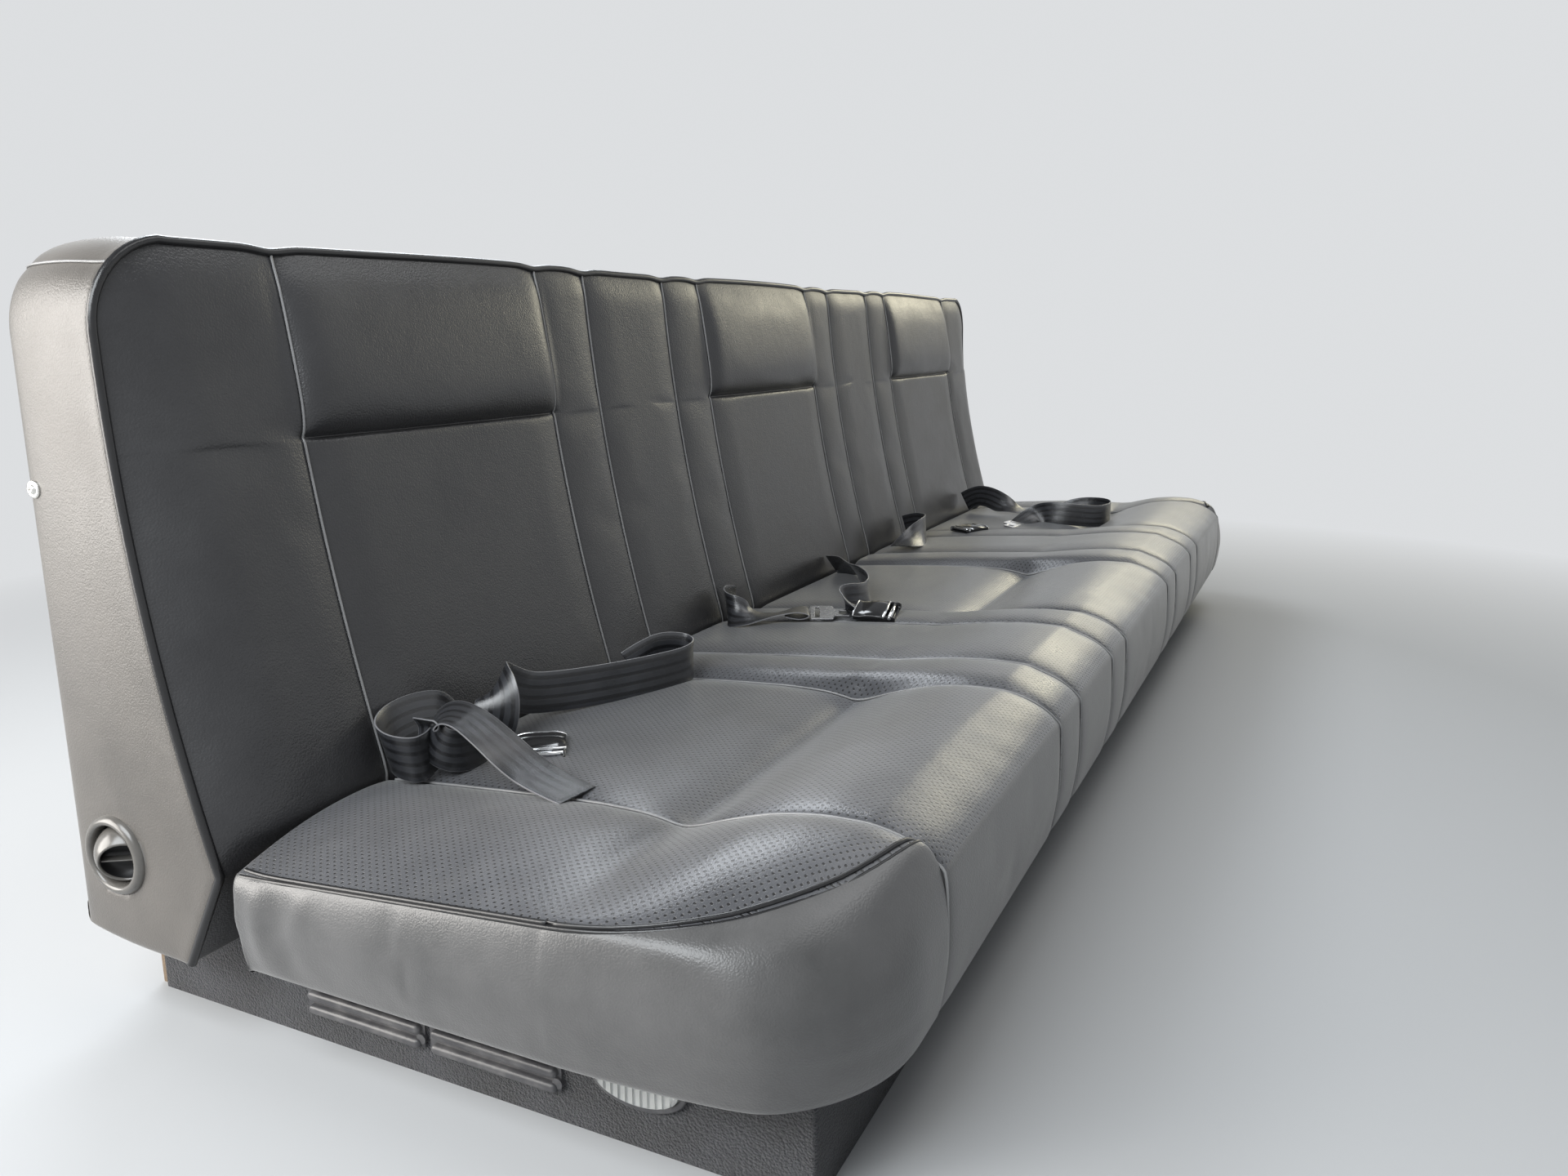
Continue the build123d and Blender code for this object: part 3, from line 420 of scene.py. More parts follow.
face_rows += [(0.5565, 0.0026, -0.0004), (0.5548, 0.0046, 0), (0.5536, 0.0044, 0), (0.5524, 0.0022, 0), (0.5505, 0.0006, 0)]
face_rows += [(0.547, 0.0, 0), (0.540, 0.0, 0)]
face_rows += [(z / 1000, 0, 0) for z in range(530, 215, -11)]
face_rows += [(z / 1000, 0, 0) for z in (214, 206, 199, 193, 189, 187, 183, 170, 150, 125, 104, 96, 92)]

back_columns = [-half_back + corner_r * (1 - math.cos(math.pi / 2 * step / 12)) for step in range(13)]
back_columns += [-half_back + corner_r + 0.0105 * step for step in range(1, 8)]
back_columns += [seams[0] - gap for gap in (0.0260, 0.0195, 0.0125, 0.0075, 0.0040, 0.0016)]
for start, end in zip(seams, seams[1:]):
    back_columns += [start] + spread(start, end, 0.0115)
back_columns += [seams[-1]] + [-place for place in reversed(back_columns) if place < seams[0]]


def seam_gap(x):
    return min(abs(x - seam) for seam in seams)


def on_face(x, row):
    z, proud, drop = row
    inward = half_back - abs(x)
    top = back_top
    if inward < corner_r:
        top = back_top - corner_r + math.sqrt(corner_r ** 2 - (corner_r - inward) ** 2)
    if inward >= corner_r:
        top += 0.0016 * math.cos(x * 9.0) - 0.0034 * math.exp(-(seam_gap(x) / 0.022) ** 2)
    low_z = 0.60
    if z > low_z:
        z = low_z + (z - low_z) * (top - low_z) / (back_top - low_z)
    if z <= boxing_foot_z:
        share = (boxing_foot_z - z) / (boxing_foot_z - tip_z)
        y = boxing_depth(boxing_foot_z) + (tip_y - boxing_depth(boxing_foot_z)) * share
        return Vector((x, y, z))
    from_side = inward
    if z > back_top - corner_r:
        from_side = inward - corner_r + math.sqrt(max(corner_r ** 2 - (z - back_top + corner_r) ** 2, 0))
    fullness = roll(from_side, 0.078) * roll(top - z, 0.034, 2.0) * roll(z - boxing_foot_z, 0.045, 2.0)
    y = boxing_depth(z) + (pad_depth(max(z, 0.19)) - boxing_depth(z)) * fullness
    gap = seam_gap(x)
    dent = 0.0022 * math.exp(-(gap / 0.0034) ** 2) + 0.0022 * math.exp(-(gap / 0.016) ** 2)
    y += dent * fullness
    for start, end in pillows:
        inside = min(x - start, end - x)
        if inside > -0.014:
            share = 0.42 + 0.58 * roll(inside, 0.026, 2.2) if inside >= 0 else 0.42 * (1 - step_up(-inside / 0.014))
            return Vector((x, y + proud * share, z + drop * share))
    return Vector((x, y, z))


bm, face = grid(back_columns, face_rows, on_face)
last_column, last_row = len(back_columns) - 1, len(face_rows) - 1


def outward(x, z):
    inward = half_back - abs(x)
    if z > back_top - corner_r and inward < corner_r:
        return Vector((math.copysign(corner_r - inward, x), 0, z - back_top + corner_r)).normalized()
    if inward < 1e-5:
        return Vector((math.copysign(1, x), 0, 0))
    return Vector((0, 0, 1 if z > 0.3 else -1))


def extrude_loop(bm, loop, place):
    edges = [edge for edge in {e for vert in loop for e in vert.link_edges} if edge.is_boundary]
    made = bmesh.ops.extrude_edge_only(bm, edges=edges)["geom"]
    fresh = {}
    for vert in (item for item in made if isinstance(item, bmesh.types.BMVert)):
        old = next(e.other_vert(vert) for e in vert.link_edges if e.other_vert(vert) in loop)
        fresh[vert] = loop[old]
    for vert, facts in fresh.items():
        vert.co = place(facts)
    return fresh


# The rim of the face is where the piping is sewn; the boxing goes from there to the back panel
rim = {}
for (column, row), vert in face.items():
    if column in (0, last_column) or row in (0, last_row):
        foot = column in (0, last_column) and row == last_row
        away = outward(vert.co.x, vert.co.z)
        rim[vert] = (vert.co.copy(), (away + Vector((0, 0, -1))).normalized() if foot else away)
piping_line = [face[0, row].co.copy() for row in range(last_row, 0, -1)]
piping_line += [face[column, 0].co.copy() for column in range(last_column + 1)]
piping_line += [face[last_column, row].co.copy() for row in range(1, last_row + 1)]
loop = rim
join_start = min((vert for vert in rim if vert.co.x < 0), key=lambda vert: abs(vert.co.x + 1.178) + abs(vert.co.z - 0.710))
join_line = []
for share, swell in ((0.012, 0.0010), (0.05, 0.0028), (0.10, 0.0022), (0.18, 0.0026), (0.30, 0.0036), (0.44, 0.0042),
                     (0.58, 0.0042), (0.72, 0.0036), (0.84, 0.0026), (0.93, 0.0014), (0.975, 0.0), (1.0, -0.0035)):
    def boxing_place(facts, share=share, swell=swell):
        point, away = facts
        foot = back_foot_z if point.z < 0.1 else point.z
        y = point.y + (back_y - point.y) * share
        z = point.z + (foot - point.z) * share
        return Vector((point.x, y, z)) + away * swell
    loop = extrude_loop(bm, loop, boxing_place)
    join_line += [vert for vert, facts in loop.items() if facts is rim[join_start]]
for inset, depth in ((0.009, 0.0), (0.019, 0.0), (0.021, -0.003), (0.021, -0.011)):
    def turned_place(facts, inset=inset, depth=depth):
        point, away = facts
        foot = back_foot_z if point.z < 0.1 else point.z
        return Vector((point.x, back_y + depth, foot)) - away * inset
    loop = extrude_loop(bm, loop, turned_place)
for vert in join_line:
    vert.co -= rim[join_start][1] * 0.0014
bmesh.ops.recalc_face_normals(bm, faces=bm.faces)
bm.verts.index_update()
join_indices = [vert.index for vert in join_line]
rim_indices = [vert.index for vert in rim]
seam_verts = [[face[column, row].index for row in range(last_row + 1) if face_rows[row][0] > 0.19]
              for column in range(last_column + 1) if min(abs(back_columns[column] - seam) for seam in seams) < 1e-6]
backrest_faces = {vert.index for vert in face.values()}
for mesh_face in bm.faces:
    mesh_face.material_index = 0 if all(vert.index in backrest_faces for vert in mesh_face.verts) else 1
backrest = object_from("backrest_cover", bm)
backrest.data.materials.append(shaded_face_leather)
backrest.data.materials.append(lit_boxing_leather)


def plumped(piece, free, cap):
    """Let the cover swell over its foam between its sewn lines, by no more than the cap."""
    flat = [vert.co.copy() for vert in piece.data.vertices]
    held = piece.vertex_groups.new(name="held")
    held.add([index for index in range(len(flat)) if index not in free], 1.0, "REPLACE")
    cloth = piece.modifiers.new("cover", "CLOTH")
    sewn = cloth.settings
    sewn.quality, sewn.mass, sewn.air_damping = 3, 0.32, 2.0
    sewn.tension_stiffness = sewn.compression_stiffness = 15
    sewn.shear_stiffness, sewn.bending_stiffness = 8, 6
    sewn.use_pressure, sewn.uniform_pressure_force = True, 4
    sewn.shrink_min = -0.004
    sewn.vertex_group_mass = "held"
    sewn.effector_weights.gravity = 0
    cloth.collision_settings.use_collision = False
    cloth.point_cache.frame_start, cloth.point_cache.frame_end = 1, 20
    for frame_number in range(1, 21):
        scene.frame_set(frame_number)
    blown = piece.evaluated_get(bpy.context.evaluated_depsgraph_get()).data
    moves = [after.co - before for after, before in zip(blown.vertices, flat)]
    for settle in range(3):
        sums, shares = [move * 2 for move in moves], [2] * len(moves)
        for edge in piece.data.edges:
            one, other = edge.vertices
            sums[one], sums[other] = sums[one] + moves[other], sums[other] + moves[one]
            shares[one], shares[other] = shares[one] + 1, shares[other] + 1
        moves = [total / share if index in free else Vector() for index, (total, share) in enumerate(zip(sums, shares))]
    piece.modifiers.clear()
    scene.frame_set(1)
    for vert, before, move in zip(piece.data.vertices, flat, moves):
        vert.co = before + move * 0.6 * min(1, cap / max(move.length, 1e-9))
    piece.vertex_groups.clear()
    print(piece.name, "plumped", round(max(move.length for move in moves) * 1000, 2), "mm")


def smoothed(piece):
    modifier = piece.modifiers.new("smooth", "SUBSURF")
    modifier.levels = modifier.render_levels = 1
    finished = bpy.data.meshes.new_from_object(piece.evaluated_get(bpy.context.evaluated_depsgraph_get()))
    piece.modifiers.clear()
    piece.data = finished
    bm = bmesh.new()
    bm.from_mesh(finished)
    filled = bmesh.ops.edgeloop_fill(bm, edges=[edge for edge in bm.edges if edge.is_boundary])["faces"]
    bmesh.ops.triangulate(bm, faces=filled)
    bm.to_mesh(finished)
    bm.free()


sewn_down = {index for line in seam_verts for index in line} | set(rim_indices)
plumped(backrest, backrest_faces - sewn_down, 0.0045)
smoothed(backrest)
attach(backrest, "root")
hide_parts("backrest_cushion")


def tube(name, lines, radius, material, closed=False, smooth_order=3):
    curve = bpy.data.curves.new(name, "CURVE")
    curve.dimensions = "3D"
    curve.bevel_depth = radius
    curve.bevel_resolution = 2
    curve.use_fill_caps = True
    for line in lines:
        spline = curve.splines.new("POLY")
        spline.points.add(len(line) - 1)
        for point, place in zip(spline.points, line):
            point.co = (*place, 1)
        spline.use_cyclic_u = closed
    drawn = bpy.data.objects.new(name, curve)
    scene.collection.objects.link(drawn)
    mesh = bpy.data.meshes.new_from_object(drawn.evaluated_get(bpy.context.evaluated_depsgraph_get()))
    bpy.data.objects.remove(drawn)
    made = bpy.data.objects.new(name, mesh)
    scene.collection.objects.link(made)
    mesh.materials.clear()
    mesh.materials.append(material)
    for polygon in mesh.polygons:
        polygon.use_smooth = True
    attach(made, "root")
    return made


seam_lines = [[backrest.data.vertices[index].co + Vector((0, -0.0014, 0)) for index in line] for line in seam_verts]
tube("backrest_seams", seam_lines, 0.0013, highlight_ridge_leather)
tube("backrest_piping", [piping_line], 0.0042, welt_leather)
join_points = [backrest.data.vertices[index].co + Vector((-0.0008, 0, 0.0008)) for index in join_indices]
tube("boxing_join_seam", [join_points], 0.0011, highlight_ridge_leather)


# Air outlet in the near end
# A moulded ring clipped into a hole in the boxing, with a ball that turns in it and one thin vane across
# the ball's mouth, a shallow dish painted near black as painted shade.
outlet_x, outlet_y, outlet_z, outlet_bore = -1.2042, 0.337, 0.184, 0.0292
bm = bmesh.new()
bm.from_mesh(backrest.data)


def from_outlet(place):
    return math.hypot(place.y - outlet_y, place.z - outlet_z)


hole_faces = [f for f in bm.faces if f.calc_center_median().x < -1.19 and from_outlet(f.calc_center_median()) < 0.031]
bmesh.ops.delete(bm, geom=hole_faces, context="FACES")
hole_edges = [edge for edge in bm.edges if edge.is_boundary]
for vert in {vert for edge in hole_edges for vert in edge.verts}:
    scale = 0.0330 / from_outlet(vert.co)
    vert.co.y, vert.co.z = outlet_y + (vert.co.y - outlet_y) * scale, outlet_z + (vert.co.z - outlet_z) * scale
for x in (-1.196, -1.150):
    made = bmesh.ops.extrude_edge_only(bm, edges=hole_edges)["geom"]
    hole_edges = [item for item in made if isinstance(item, bmesh.types.BMEdge) and item.is_boundary]
    for vert in (item for item in made if isinstance(item, bmesh.types.BMVert)):
        vert.co.x = x
floor_faces = bmesh.ops.edgeloop_fill(bm, edges=hole_edges)["faces"]
bmesh.ops.triangulate(bm, faces=floor_faces)
bmesh.ops.recalc_face_normals(bm, faces=bm.faces)
bm.to_mesh(backrest.data)
bm.free()


def lathe(bm, profile, matrix, steps=48, closed=False):
    before = set(bm.verts)
    outline = [bm.verts.new((radius, 0, height)) for radius, height in profile]
    pairs = list(zip(outline, outline[1:])) + ([(outline[-1], outline[0])] if closed else [])
    edges = [bm.edges.new(pair) for pair in pairs]
    bmesh.ops.spin(bm, geom=outline + edges, axis=(0, 0, 1), cent=(0, 0, 0), steps=steps, angle=math.tau, use_merge=True)
    fresh = [vert for vert in bm.verts if vert not in before]
    bmesh.ops.remove_doubles(bm, verts=fresh, dist=1e-6)
    fresh = [vert for vert in bm.verts if vert not in before]
    bmesh.ops.transform(bm, matrix=matrix, verts=fresh)
    return fresh


def block(bm, size, matrix, soft, segments=3):
    made = bmesh.ops.create_cube(bm, size=1.0, matrix=matrix @ Matrix.Diagonal((*size, 1)))["verts"]
    edges = list({edge for vert in made for edge in vert.link_edges})
    bmesh.ops.bevel(bm, geom=edges, offset=soft, segments=segments, profile=0.5, affect="EDGES", material=-1, clamp_overlap=True)


def finished(name, bm, materials, slot, stands_for=()):
    bmesh.ops.recalc_face_normals(bm, faces=bm.faces)
    made = object_from(name, bm)
    for material in materials:
        made.data.materials.append(material)
    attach(made, "root")
    if stands_for:
        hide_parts(*stands_for)
    return made


outlet_frame = Matrix.Translation((outlet_x, outlet_y, outlet_z)) @ Matrix.Rotation(-math.pi / 2, 4, "Y")
bm = bmesh.new()
lathe(bm, ((outlet_bore, -0.022), (outlet_bore, 0.001), (outlet_bore + 0.0006, 0.0040), (outlet_bore + 0.0022, 0.0058),
           (outlet_bore + 0.0045, 0.0060), (outlet_bore + 0.0070, 0.0048), (outlet_bore + 0.0090, 0.0022),
           (outlet_bore + 0.0098, -0.0010), (outlet_bore + 0.0092, -0.0040), (outlet_bore + 0.0030, -0.0040),
           (outlet_bore + 0.0022, -0.022)), outlet_frame, steps=64, closed=True)
satin_ring, tree = new_material("satin grey plastic")
place = node(tree, "ShaderNodeTexCoord")
film = node(tree, "ShaderNodeTexNoise", {"Vector": place.outputs["Object"], "Scale": 60.0, "Detail": 4.0})
tone = node(tree, "ShaderNodeMixRGB", {"Fac": film.outputs[0], "Color1": (0.085, 0.080, 0.074, 1), "Color2": (0.150, 0.142, 0.130, 1)})
rough = node(tree, "ShaderNodeMapRange", {"Value": film.outputs[0], "To Min": 0.16, "To Max": 0.32})
ring_shader = node(tree, "ShaderNodeBsdfPrincipled", {"Base Color": tone.outputs[0], "Roughness": rough.outputs[0], "Specular IOR Level": 0.7})
surface(tree, ring_shader.outputs[0])
finished("outlet_ring", bm, [satin_ring], "black_plastic", ["outlet_bezel"])
ball_r = 0.0284
ball_frame = (outlet_frame @ Matrix.Translation((0, 0, -0.0125)) @ Matrix.Rotation(math.radians(-25), 4, "Y")
              @ Matrix.Rotation(math.radians(38), 4, "X"))
bm = bmesh.new()
arc = [(ball_r * math.sin(turn), ball_r * math.cos(turn)) for turn in (math.radians(180 - 6.6 * step) for step in range(20))]
arc[0] = (0, -ball_r)
mouth_r, mouth_h = arc[-1]
lathe(bm, arc + [(mouth_r - 0.0008, mouth_h + 0.0010), (mouth_r - 0.0020, mouth_h + 0.0008), (mouth_r - 0.0026, mouth_h - 0.001)],
      ball_frame, steps=64)
dish_from = len(bm.faces)
lathe(bm, ((mouth_r - 0.0026, mouth_h - 0.001), (mouth_r - 0.0032, mouth_h - 0.010), (mouth_r - 0.009, mouth_h - 0.0115), (0, mouth_h - 0.012)),
      ball_frame, steps=64)
bm.faces.ensure_lookup_table()
for dish_face in bm.faces[dish_from:]:
    dish_face.material_index = 1
bmesh.ops.remove_doubles(bm, verts=bm.verts, dist=1e-6)
block(bm, (0.0013, 2 * (mouth_r - 0.0030), 0.0070), ball_frame @ Matrix.Translation((0, 0, mouth_h - 0.0055))
      @ Matrix.Rotation(math.radians(-20), 4, "Z"), 0.0004, 2)
# The mouth's dish is painted near black: painted shade standing for the dark opening.
shade_plastic, tree = new_material("outlet mouth painted as shade")
place = node(tree, "ShaderNodeTexCoord")
film = node(tree, "ShaderNodeTexNoise", {"Vector": place.outputs["Object"], "Scale": 300.0, "Detail": 3.0})
rough = node(tree, "ShaderNodeMapRange", {"Value": film.outputs[0], "To Min": 0.35, "To Max": 0.55})
shade_shader = node(tree, "ShaderNodeBsdfPrincipled", {"Base Color": (0.008, 0.008, 0.009, 1), "Roughness": rough.outputs[0]})
surface(tree, shade_shader.outputs[0])
finished("outlet_turning_ball", bm, [satin_ring, shade_plastic], "black_plastic", ["outlet_ball"])


# Trim screws of the boxing
# Cross-headed plated screws in finishing washers, one high in each end near the back panel.
screw_metal, tree = new_material("nickel plated screws")
place = node(tree, "ShaderNodeTexCoord")
wear = node(tree, "ShaderNodeTexNoise", {"Vector": place.outputs["Object"], "Scale": 500.0, "Detail": 4.0})
rough = node(tree, "ShaderNodeMapRange", {"Value": wear.outputs[0], "To Min": 0.18, "To Max": 0.38})
screw_shader = node(tree, "ShaderNodeBsdfPrincipled", {"Base Color": (0.80, 0.79, 0.75, 1), "Metallic": 1.0, "Roughness": rough.outputs[0]})
surface(tree, screw_shader.outputs[0])
screw_y, screw_z, screw_x = 0.387, 0.520, 1.2030
for side, name in ((-1, "near_trim_screw"), (1, "far_trim_screw")):
    screw_frame = Matrix.Translation((side * screw_x, screw_y, screw_z)) @ Matrix.Rotation(side * math.pi / 2, 4, "Y")
    bm = bmesh.new()
    lathe(bm, ((0, -0.004), (0.0078, -0.004), (0.0080, 0.0004), (0.0074, 0.0014), (0.0056, 0.0012), (0.0046, 0.0006), (0.0043, 0.0016),
               (0.0038, 0.0028), (0.0026, 0.0036), (0, 0.0039)), screw_frame, steps=32)
    screw = finished(name, bm, [screw_metal], "zinc_steel")
    bm = bmesh.new()
    for turn in (0.35, 0.35 + math.pi / 2):
        block(bm, (0.0046, 0.0011, 0.0030), screw_frame @ Matrix.Translation((0, 0, 0.0034)) @ Matrix.Rotation(turn, 4, "Z"), 0.0001, 1)
    cross = object_from("cross", bm)
    recess = screw.modifiers.new("cross recess", "BOOLEAN")
    recess.object, recess.use_self = cross, True
    screw_mesh = bpy.data.meshes.new_from_object(screw.evaluated_get(bpy.context.evaluated_depsgraph_get()))
    screw.modifiers.clear()
    screw.data = screw_mesh
    bpy.data.objects.remove(cross)


# Seat cushion
# Foam on a board, in a cover whose perforated top runs over a rolled front edge and down the front;
# plain gussets close the two ends round the corners, each joined to the top by a double welt.
half_seat, seat_back_y, seat_foot_z = 1.210, 0.178, 0.104
welt_r, welt_centre_x, welt_centre_y = 0.228, 0.975, -0.150
corner_round, seam_outer = 0.150, 1.0135
# Columns: y and height of the welt from the back to the front corner
welt_heights = ((0.178, 0.199), (0.145, 0.201), (0.02, 0.212), (-0.096, 0.222), (-0.200, 0.231), (-0.282, 0.241), (-0.345, 0.254), (-0.378, 0.267))
# Sections of the seat from back to front: y and height, on a pillow part and on a plain part
pillow_section = ((0.178, 0.221), (0.10, 0.229), (0.0, 0.2365), (-0.070, 0.2385), (-0.115, 0.2345), (-0.140, 0.2285), (-0.156, 0.2205),
                  (-0.172, 0.2290), (-0.200, 0.2460), (-0.245, 0.2620), (-0.290, 0.2695), (-0.330, 0.2700))
plain_section = ((0.178, 0.226), (0.10, 0.2345), (0.0, 0.244), (-0.070, 0.2495), (-0.115, 0.2530), (-0.140, 0.2550), (-0.156, 0.2562),
                 (-0.172, 0.2580), (-0.200, 0.2625), (-0.245, 0.2690), (-0.290, 0.2730), (-0.330, 0.2725))
seam_section = ((0.178, 0.221), (0.10, 0.228), (0.0, 0.236), (-0.070, 0.2400), (-0.115, 0.2400), (-0.140, 0.2370), (-0.156, 0.2330),
                (-0.172, 0.2370), (-0.200, 0.2480), (-0.245, 0.2620), (-0.290, 0.2690), (-0.330, 0.2695))
nose = ((-0.350, 0.2665), (-0.364, 0.2620), (-0.377, 0.2562), (-0.3885, 0.2485), (-0.396, 0.2405))


def along(table, y):
    if y >= table[0][0]:
        return table[0][1]
    for (y0, z0), (y1, z1) in zip(table, table[1:]):
        if y >= y1:
            share = (y0 - y) / (y0 - y1)
            return z0 + (z1 - z0) * share
    return table[-1][1]


def smooth_along(table, y):
    return sum(along(table, y + shift) * weight for shift, weight in ((-0.008, 0.2), (-0.003, 0.2), (0, 0.2), (0.003, 0.2), (0.008, 0.2)))


seat_rows = [0.178, 0.170, 0.160, 0.149, 0.138, 0.126, 0.113, 0.100, 0.087, 0.074, 0.061, 0.048, 0.035, 0.022, 0.009, -0.004,
             -0.017, -0.030, -0.043, -0.056, -0.068, -0.080, -0.092, -0.103, -0.114, -0.124, -0.133, -0.141, -0.147, -0.152,
             -0.156, -0.160, -0.165, -0.171, -0.179, -0.188, -0.198, -0.209, -0.221, -0.233, -0.245, -0.257, -0.269, -0.281,
             -0.293, -0.304, -0.315, -0.325, -0.334, -0.343, -0.352, -0.3605, -0.3685, -0.3755, -0.382, -0.388, -0.3925, -0.396]
corner_steps = 22
seat_columns = []
junction_turn = math.acos((seam_outer - welt_centre_x) / welt_r)
for step in range(corner_steps + 1):
    turn = junction_turn * step / corner_steps
    seat_columns.append(-(welt_centre_x + welt_r * math.cos(turn)))
seat_columns = seat_columns[:-1] + [seams[0] - gap for gap in (0.0075, 0.0040, 0.0016)]
for start, end in zip(seams, seams[1:]):
    seat_columns += [start] + spread(start, end, 0.0125)
outer_columns = [x for x in seat_columns if x < seams[0]]
seat_columns += [seams[-1]] + [-x for x in reversed(outer_columns)]


def seat_front(x):
    """How far forward the top reaches at a place along the bench."""
    out = abs(x)
    if out > seam_outer:
        reach = math.sqrt(max(welt_r ** 2 - (out - welt_centre_x) ** 2, 0))
        return welt_centre_y - reach
    return -0.396


def section_height(x, y):
    plain = smooth_along(plain_section, y)
    for start, end in pillows:
        if start - 0.028 < x < end + 0.028:
            pillow = smooth_along(pillow_section, y)
            seam = smooth_along(seam_section, y)
            inside = min(x - start, end - x)
            if inside >= 0:
                return seam + (pillow - seam) * roll(inside, 0.032, 2.0)
            return seam + (plain - seam) * step_up(-inside / 0.028)
    return plain


def on_seat(x, row):
    out = abs(x)
    front = seat_front(x)
    if out <= seam_outer:
        y = row
        if y > -0.334:
            z = section_height(x, y)
        else:
            z = along(((-0.334, section_height(x, -0.334)),) + nose, y)
    else:
        share = (seat_back_y - row) / (seat_back_y + 0.396)
        y = seat_back_y + (front - seat_back_y) * share
        here = along(welt_heights, y)
        if y > welt_centre_y:
            edge = welt_centre_x + welt_r
        else:
            edge = welt_centre_x + math.sqrt(max(welt_r ** 2 - (y - welt_centre_y) ** 2, 0))
        across = min(max((edge - out) / max(edge - seam_outer, 1e-6), 0), 1)
        inner = smooth_along(seam_section, y) if y > -0.334 else along(((-0.334, 0.2695),) + nose, y)
        z = here + (inner - here) * roll(across, 1.0, 2.2) + 0.004 * math.sin(math.pi * across)
    gap = seam_gap(x)
    z -= 0.0026 * math.exp(-(gap / 0.0040) ** 2) + 0.0026 * math.exp(-(gap / 0.016) ** 2)
    return Vector((x, y, z))


bm, top = grid(seat_columns, seat_rows, on_seat)
seat_last_column, seat_last_row = len(seat_columns) - 1, len(seat_rows) - 1
laid_flat = {}
for column in range(seat_last_column + 1):
    run = 0.0
    for row in range(seat_last_row + 1):
        if row:
            run += (top[column, row].co - top[column, row - 1].co).length
        laid_flat[top[column, row]] = (seat_columns[column], run)

# The rim of the top: at the ends it is the welt, along the front the edge where the roll turns down
seat_rim = {}
for (column, row), vert in top.items():
    if column in (0, seat_last_column) or row in (0, seat_last_row):
        x, y = vert.co.x, vert.co.y
        side = math.copysign(1, x)
        if row == 0 and column not in (0, seat_last_column):
            outer, away = Vector((x, seat_back_y, 0)), Vector((0, 1, 0))
        elif row == 0:
            outer, away = Vector((side * (half_seat + 0.002), seat_back_y, 0)), Vector((side, 1, 0)).normalized()
        elif column in (0, seat_last_column) and y > welt_centre_y:
            outer, away = Vector((side * (half_seat + 0.002), y, 0)), Vector((side, 0, 0))
        else:
            turn = math.atan2(welt_centre_y - y, abs(x) - welt_centre_x) if abs(x) > welt_centre_x else math.pi / 2
            turn = min(turn / junction_turn, 1) * math.pi / 2 if abs(x) > seam_outer else math.pi / 2
            if abs(x) > seam_outer:
                low_x, low_y = half_seat + 0.002 - corner_round, -0.402 + corner_round
                early = 0.26
                part = min(max(turn / (math.pi / 2), 0), 1)
                lead = min(part / early, 1)
                sweep = math.pi / 2 * max((part - 0.0) / 0.80, 0)
                if part < 0.80:
                    outer = Vector((side * (low_x + corner_round * math.cos(sweep)), low_y - corner_round * math.sin(sweep), 0))
                    outer.y += (welt_centre_y - low_y) * (1 - step_up(lead)) * 1.0
                else:
                    slide = (part - 0.80) / 0.20
                    outer = Vector((side * (low_x + (seam_outer - low_x) * slide), -0.402, 0))
                    sweep = math.pi / 2
                away = Vector((side * math.cos(sweep), -math.sin(sweep), 0))
            else:
                outer, away = Vector((x, -0.402, 0)), Vector((0, -1, 0))
        seat_rim[vert] = (vert.co.copy(), outer, away)
welt_verts = [(top[0, row], top[1, row]) for row in range(1, seat_last_row)]
welt_verts += [(top[column, seat_last_row], top[column, seat_last_row - 1]) for column in range(len(outer_columns))]
welt_lines = [[vert.co + (inner.co - vert.co).normalized() * 0.0042 + Vector((0, 0, 0.0006)) for vert, inner in welt_verts],
              [vert.co + seat_rim[vert][2] * 0.0012 - Vector((0, 0, 0.0022)) for vert, inner in welt_verts]]
front_line = [top[column, seat_last_row].co.copy() for column in range(seat_last_column + 1) if abs(seat_columns[column]) <= seam_outer]

front_seam_verts = [[] for seam in seams]
side_verts = []
side_rows = 16
loop = seat_rim
rim_runs = {}
for step in range(1, side_rows + 1):
    part = step / side_rows

    def side_place(facts, part=part):
        start, outer, away = facts
        shoulder = 0.36
        mid_z = 0.172
        foot = seat_foot_z + 0.006
        if part <= shoulder:
            angle = math.pi / 2 * part / shoulder
            flat = Vector((start.x, start.y, 0)).lerp(outer, math.sin(angle) ** 0.9)
            z = start.z + (mid_z - start.z) * (1 - math.cos(angle)) ** 1.0
        else:
            share = (part - shoulder) / (1 - shoulder)
            flat = outer - away * (0.007 * share ** 1.6)
            z = mid_z + (foot - mid_z) * share
        if start.y < -0.39:
            gap = seam_gap(start.x)
            flat -= away * min(part * 4, 1) * (0.0024 * math.exp(-(gap / 0.0040) ** 2) + 0.0018 * math.exp(-(gap / 0.014) ** 2))
        elif abs(away.x) > 0.95:
            pull = 0.0030 * math.exp(-((start.y - 0.150) / 0.011) ** 2) - 0.0022 * math.exp(-((start.y - 0.120) / 0.013) ** 2)
            pull += 0.0016 * math.exp(-((start.y - 0.085 - 0.06 * part) / 0.012) ** 2)
            flat += away * pull * math.sin(math.pi * part) ** 0.8
        else:
            flat += away * 0.0011 * math.sin(math.pi * part) * math.sin((z + 0.04 * start.x) * math.tau / 0.034) * (2 * abs(away.x * away.y))
        return Vector((flat.x, flat.y, z))
    loop = extrude_loop(bm, loop, side_place)
    for vert, facts in loop.items():
        if facts[0].y < -0.39:
            for number, seam in enumerate(seams):
                if abs(facts[0].x - seam) < 1e-6:
                    front_seam_verts[number].append(vert)
    side_verts += list(loop)
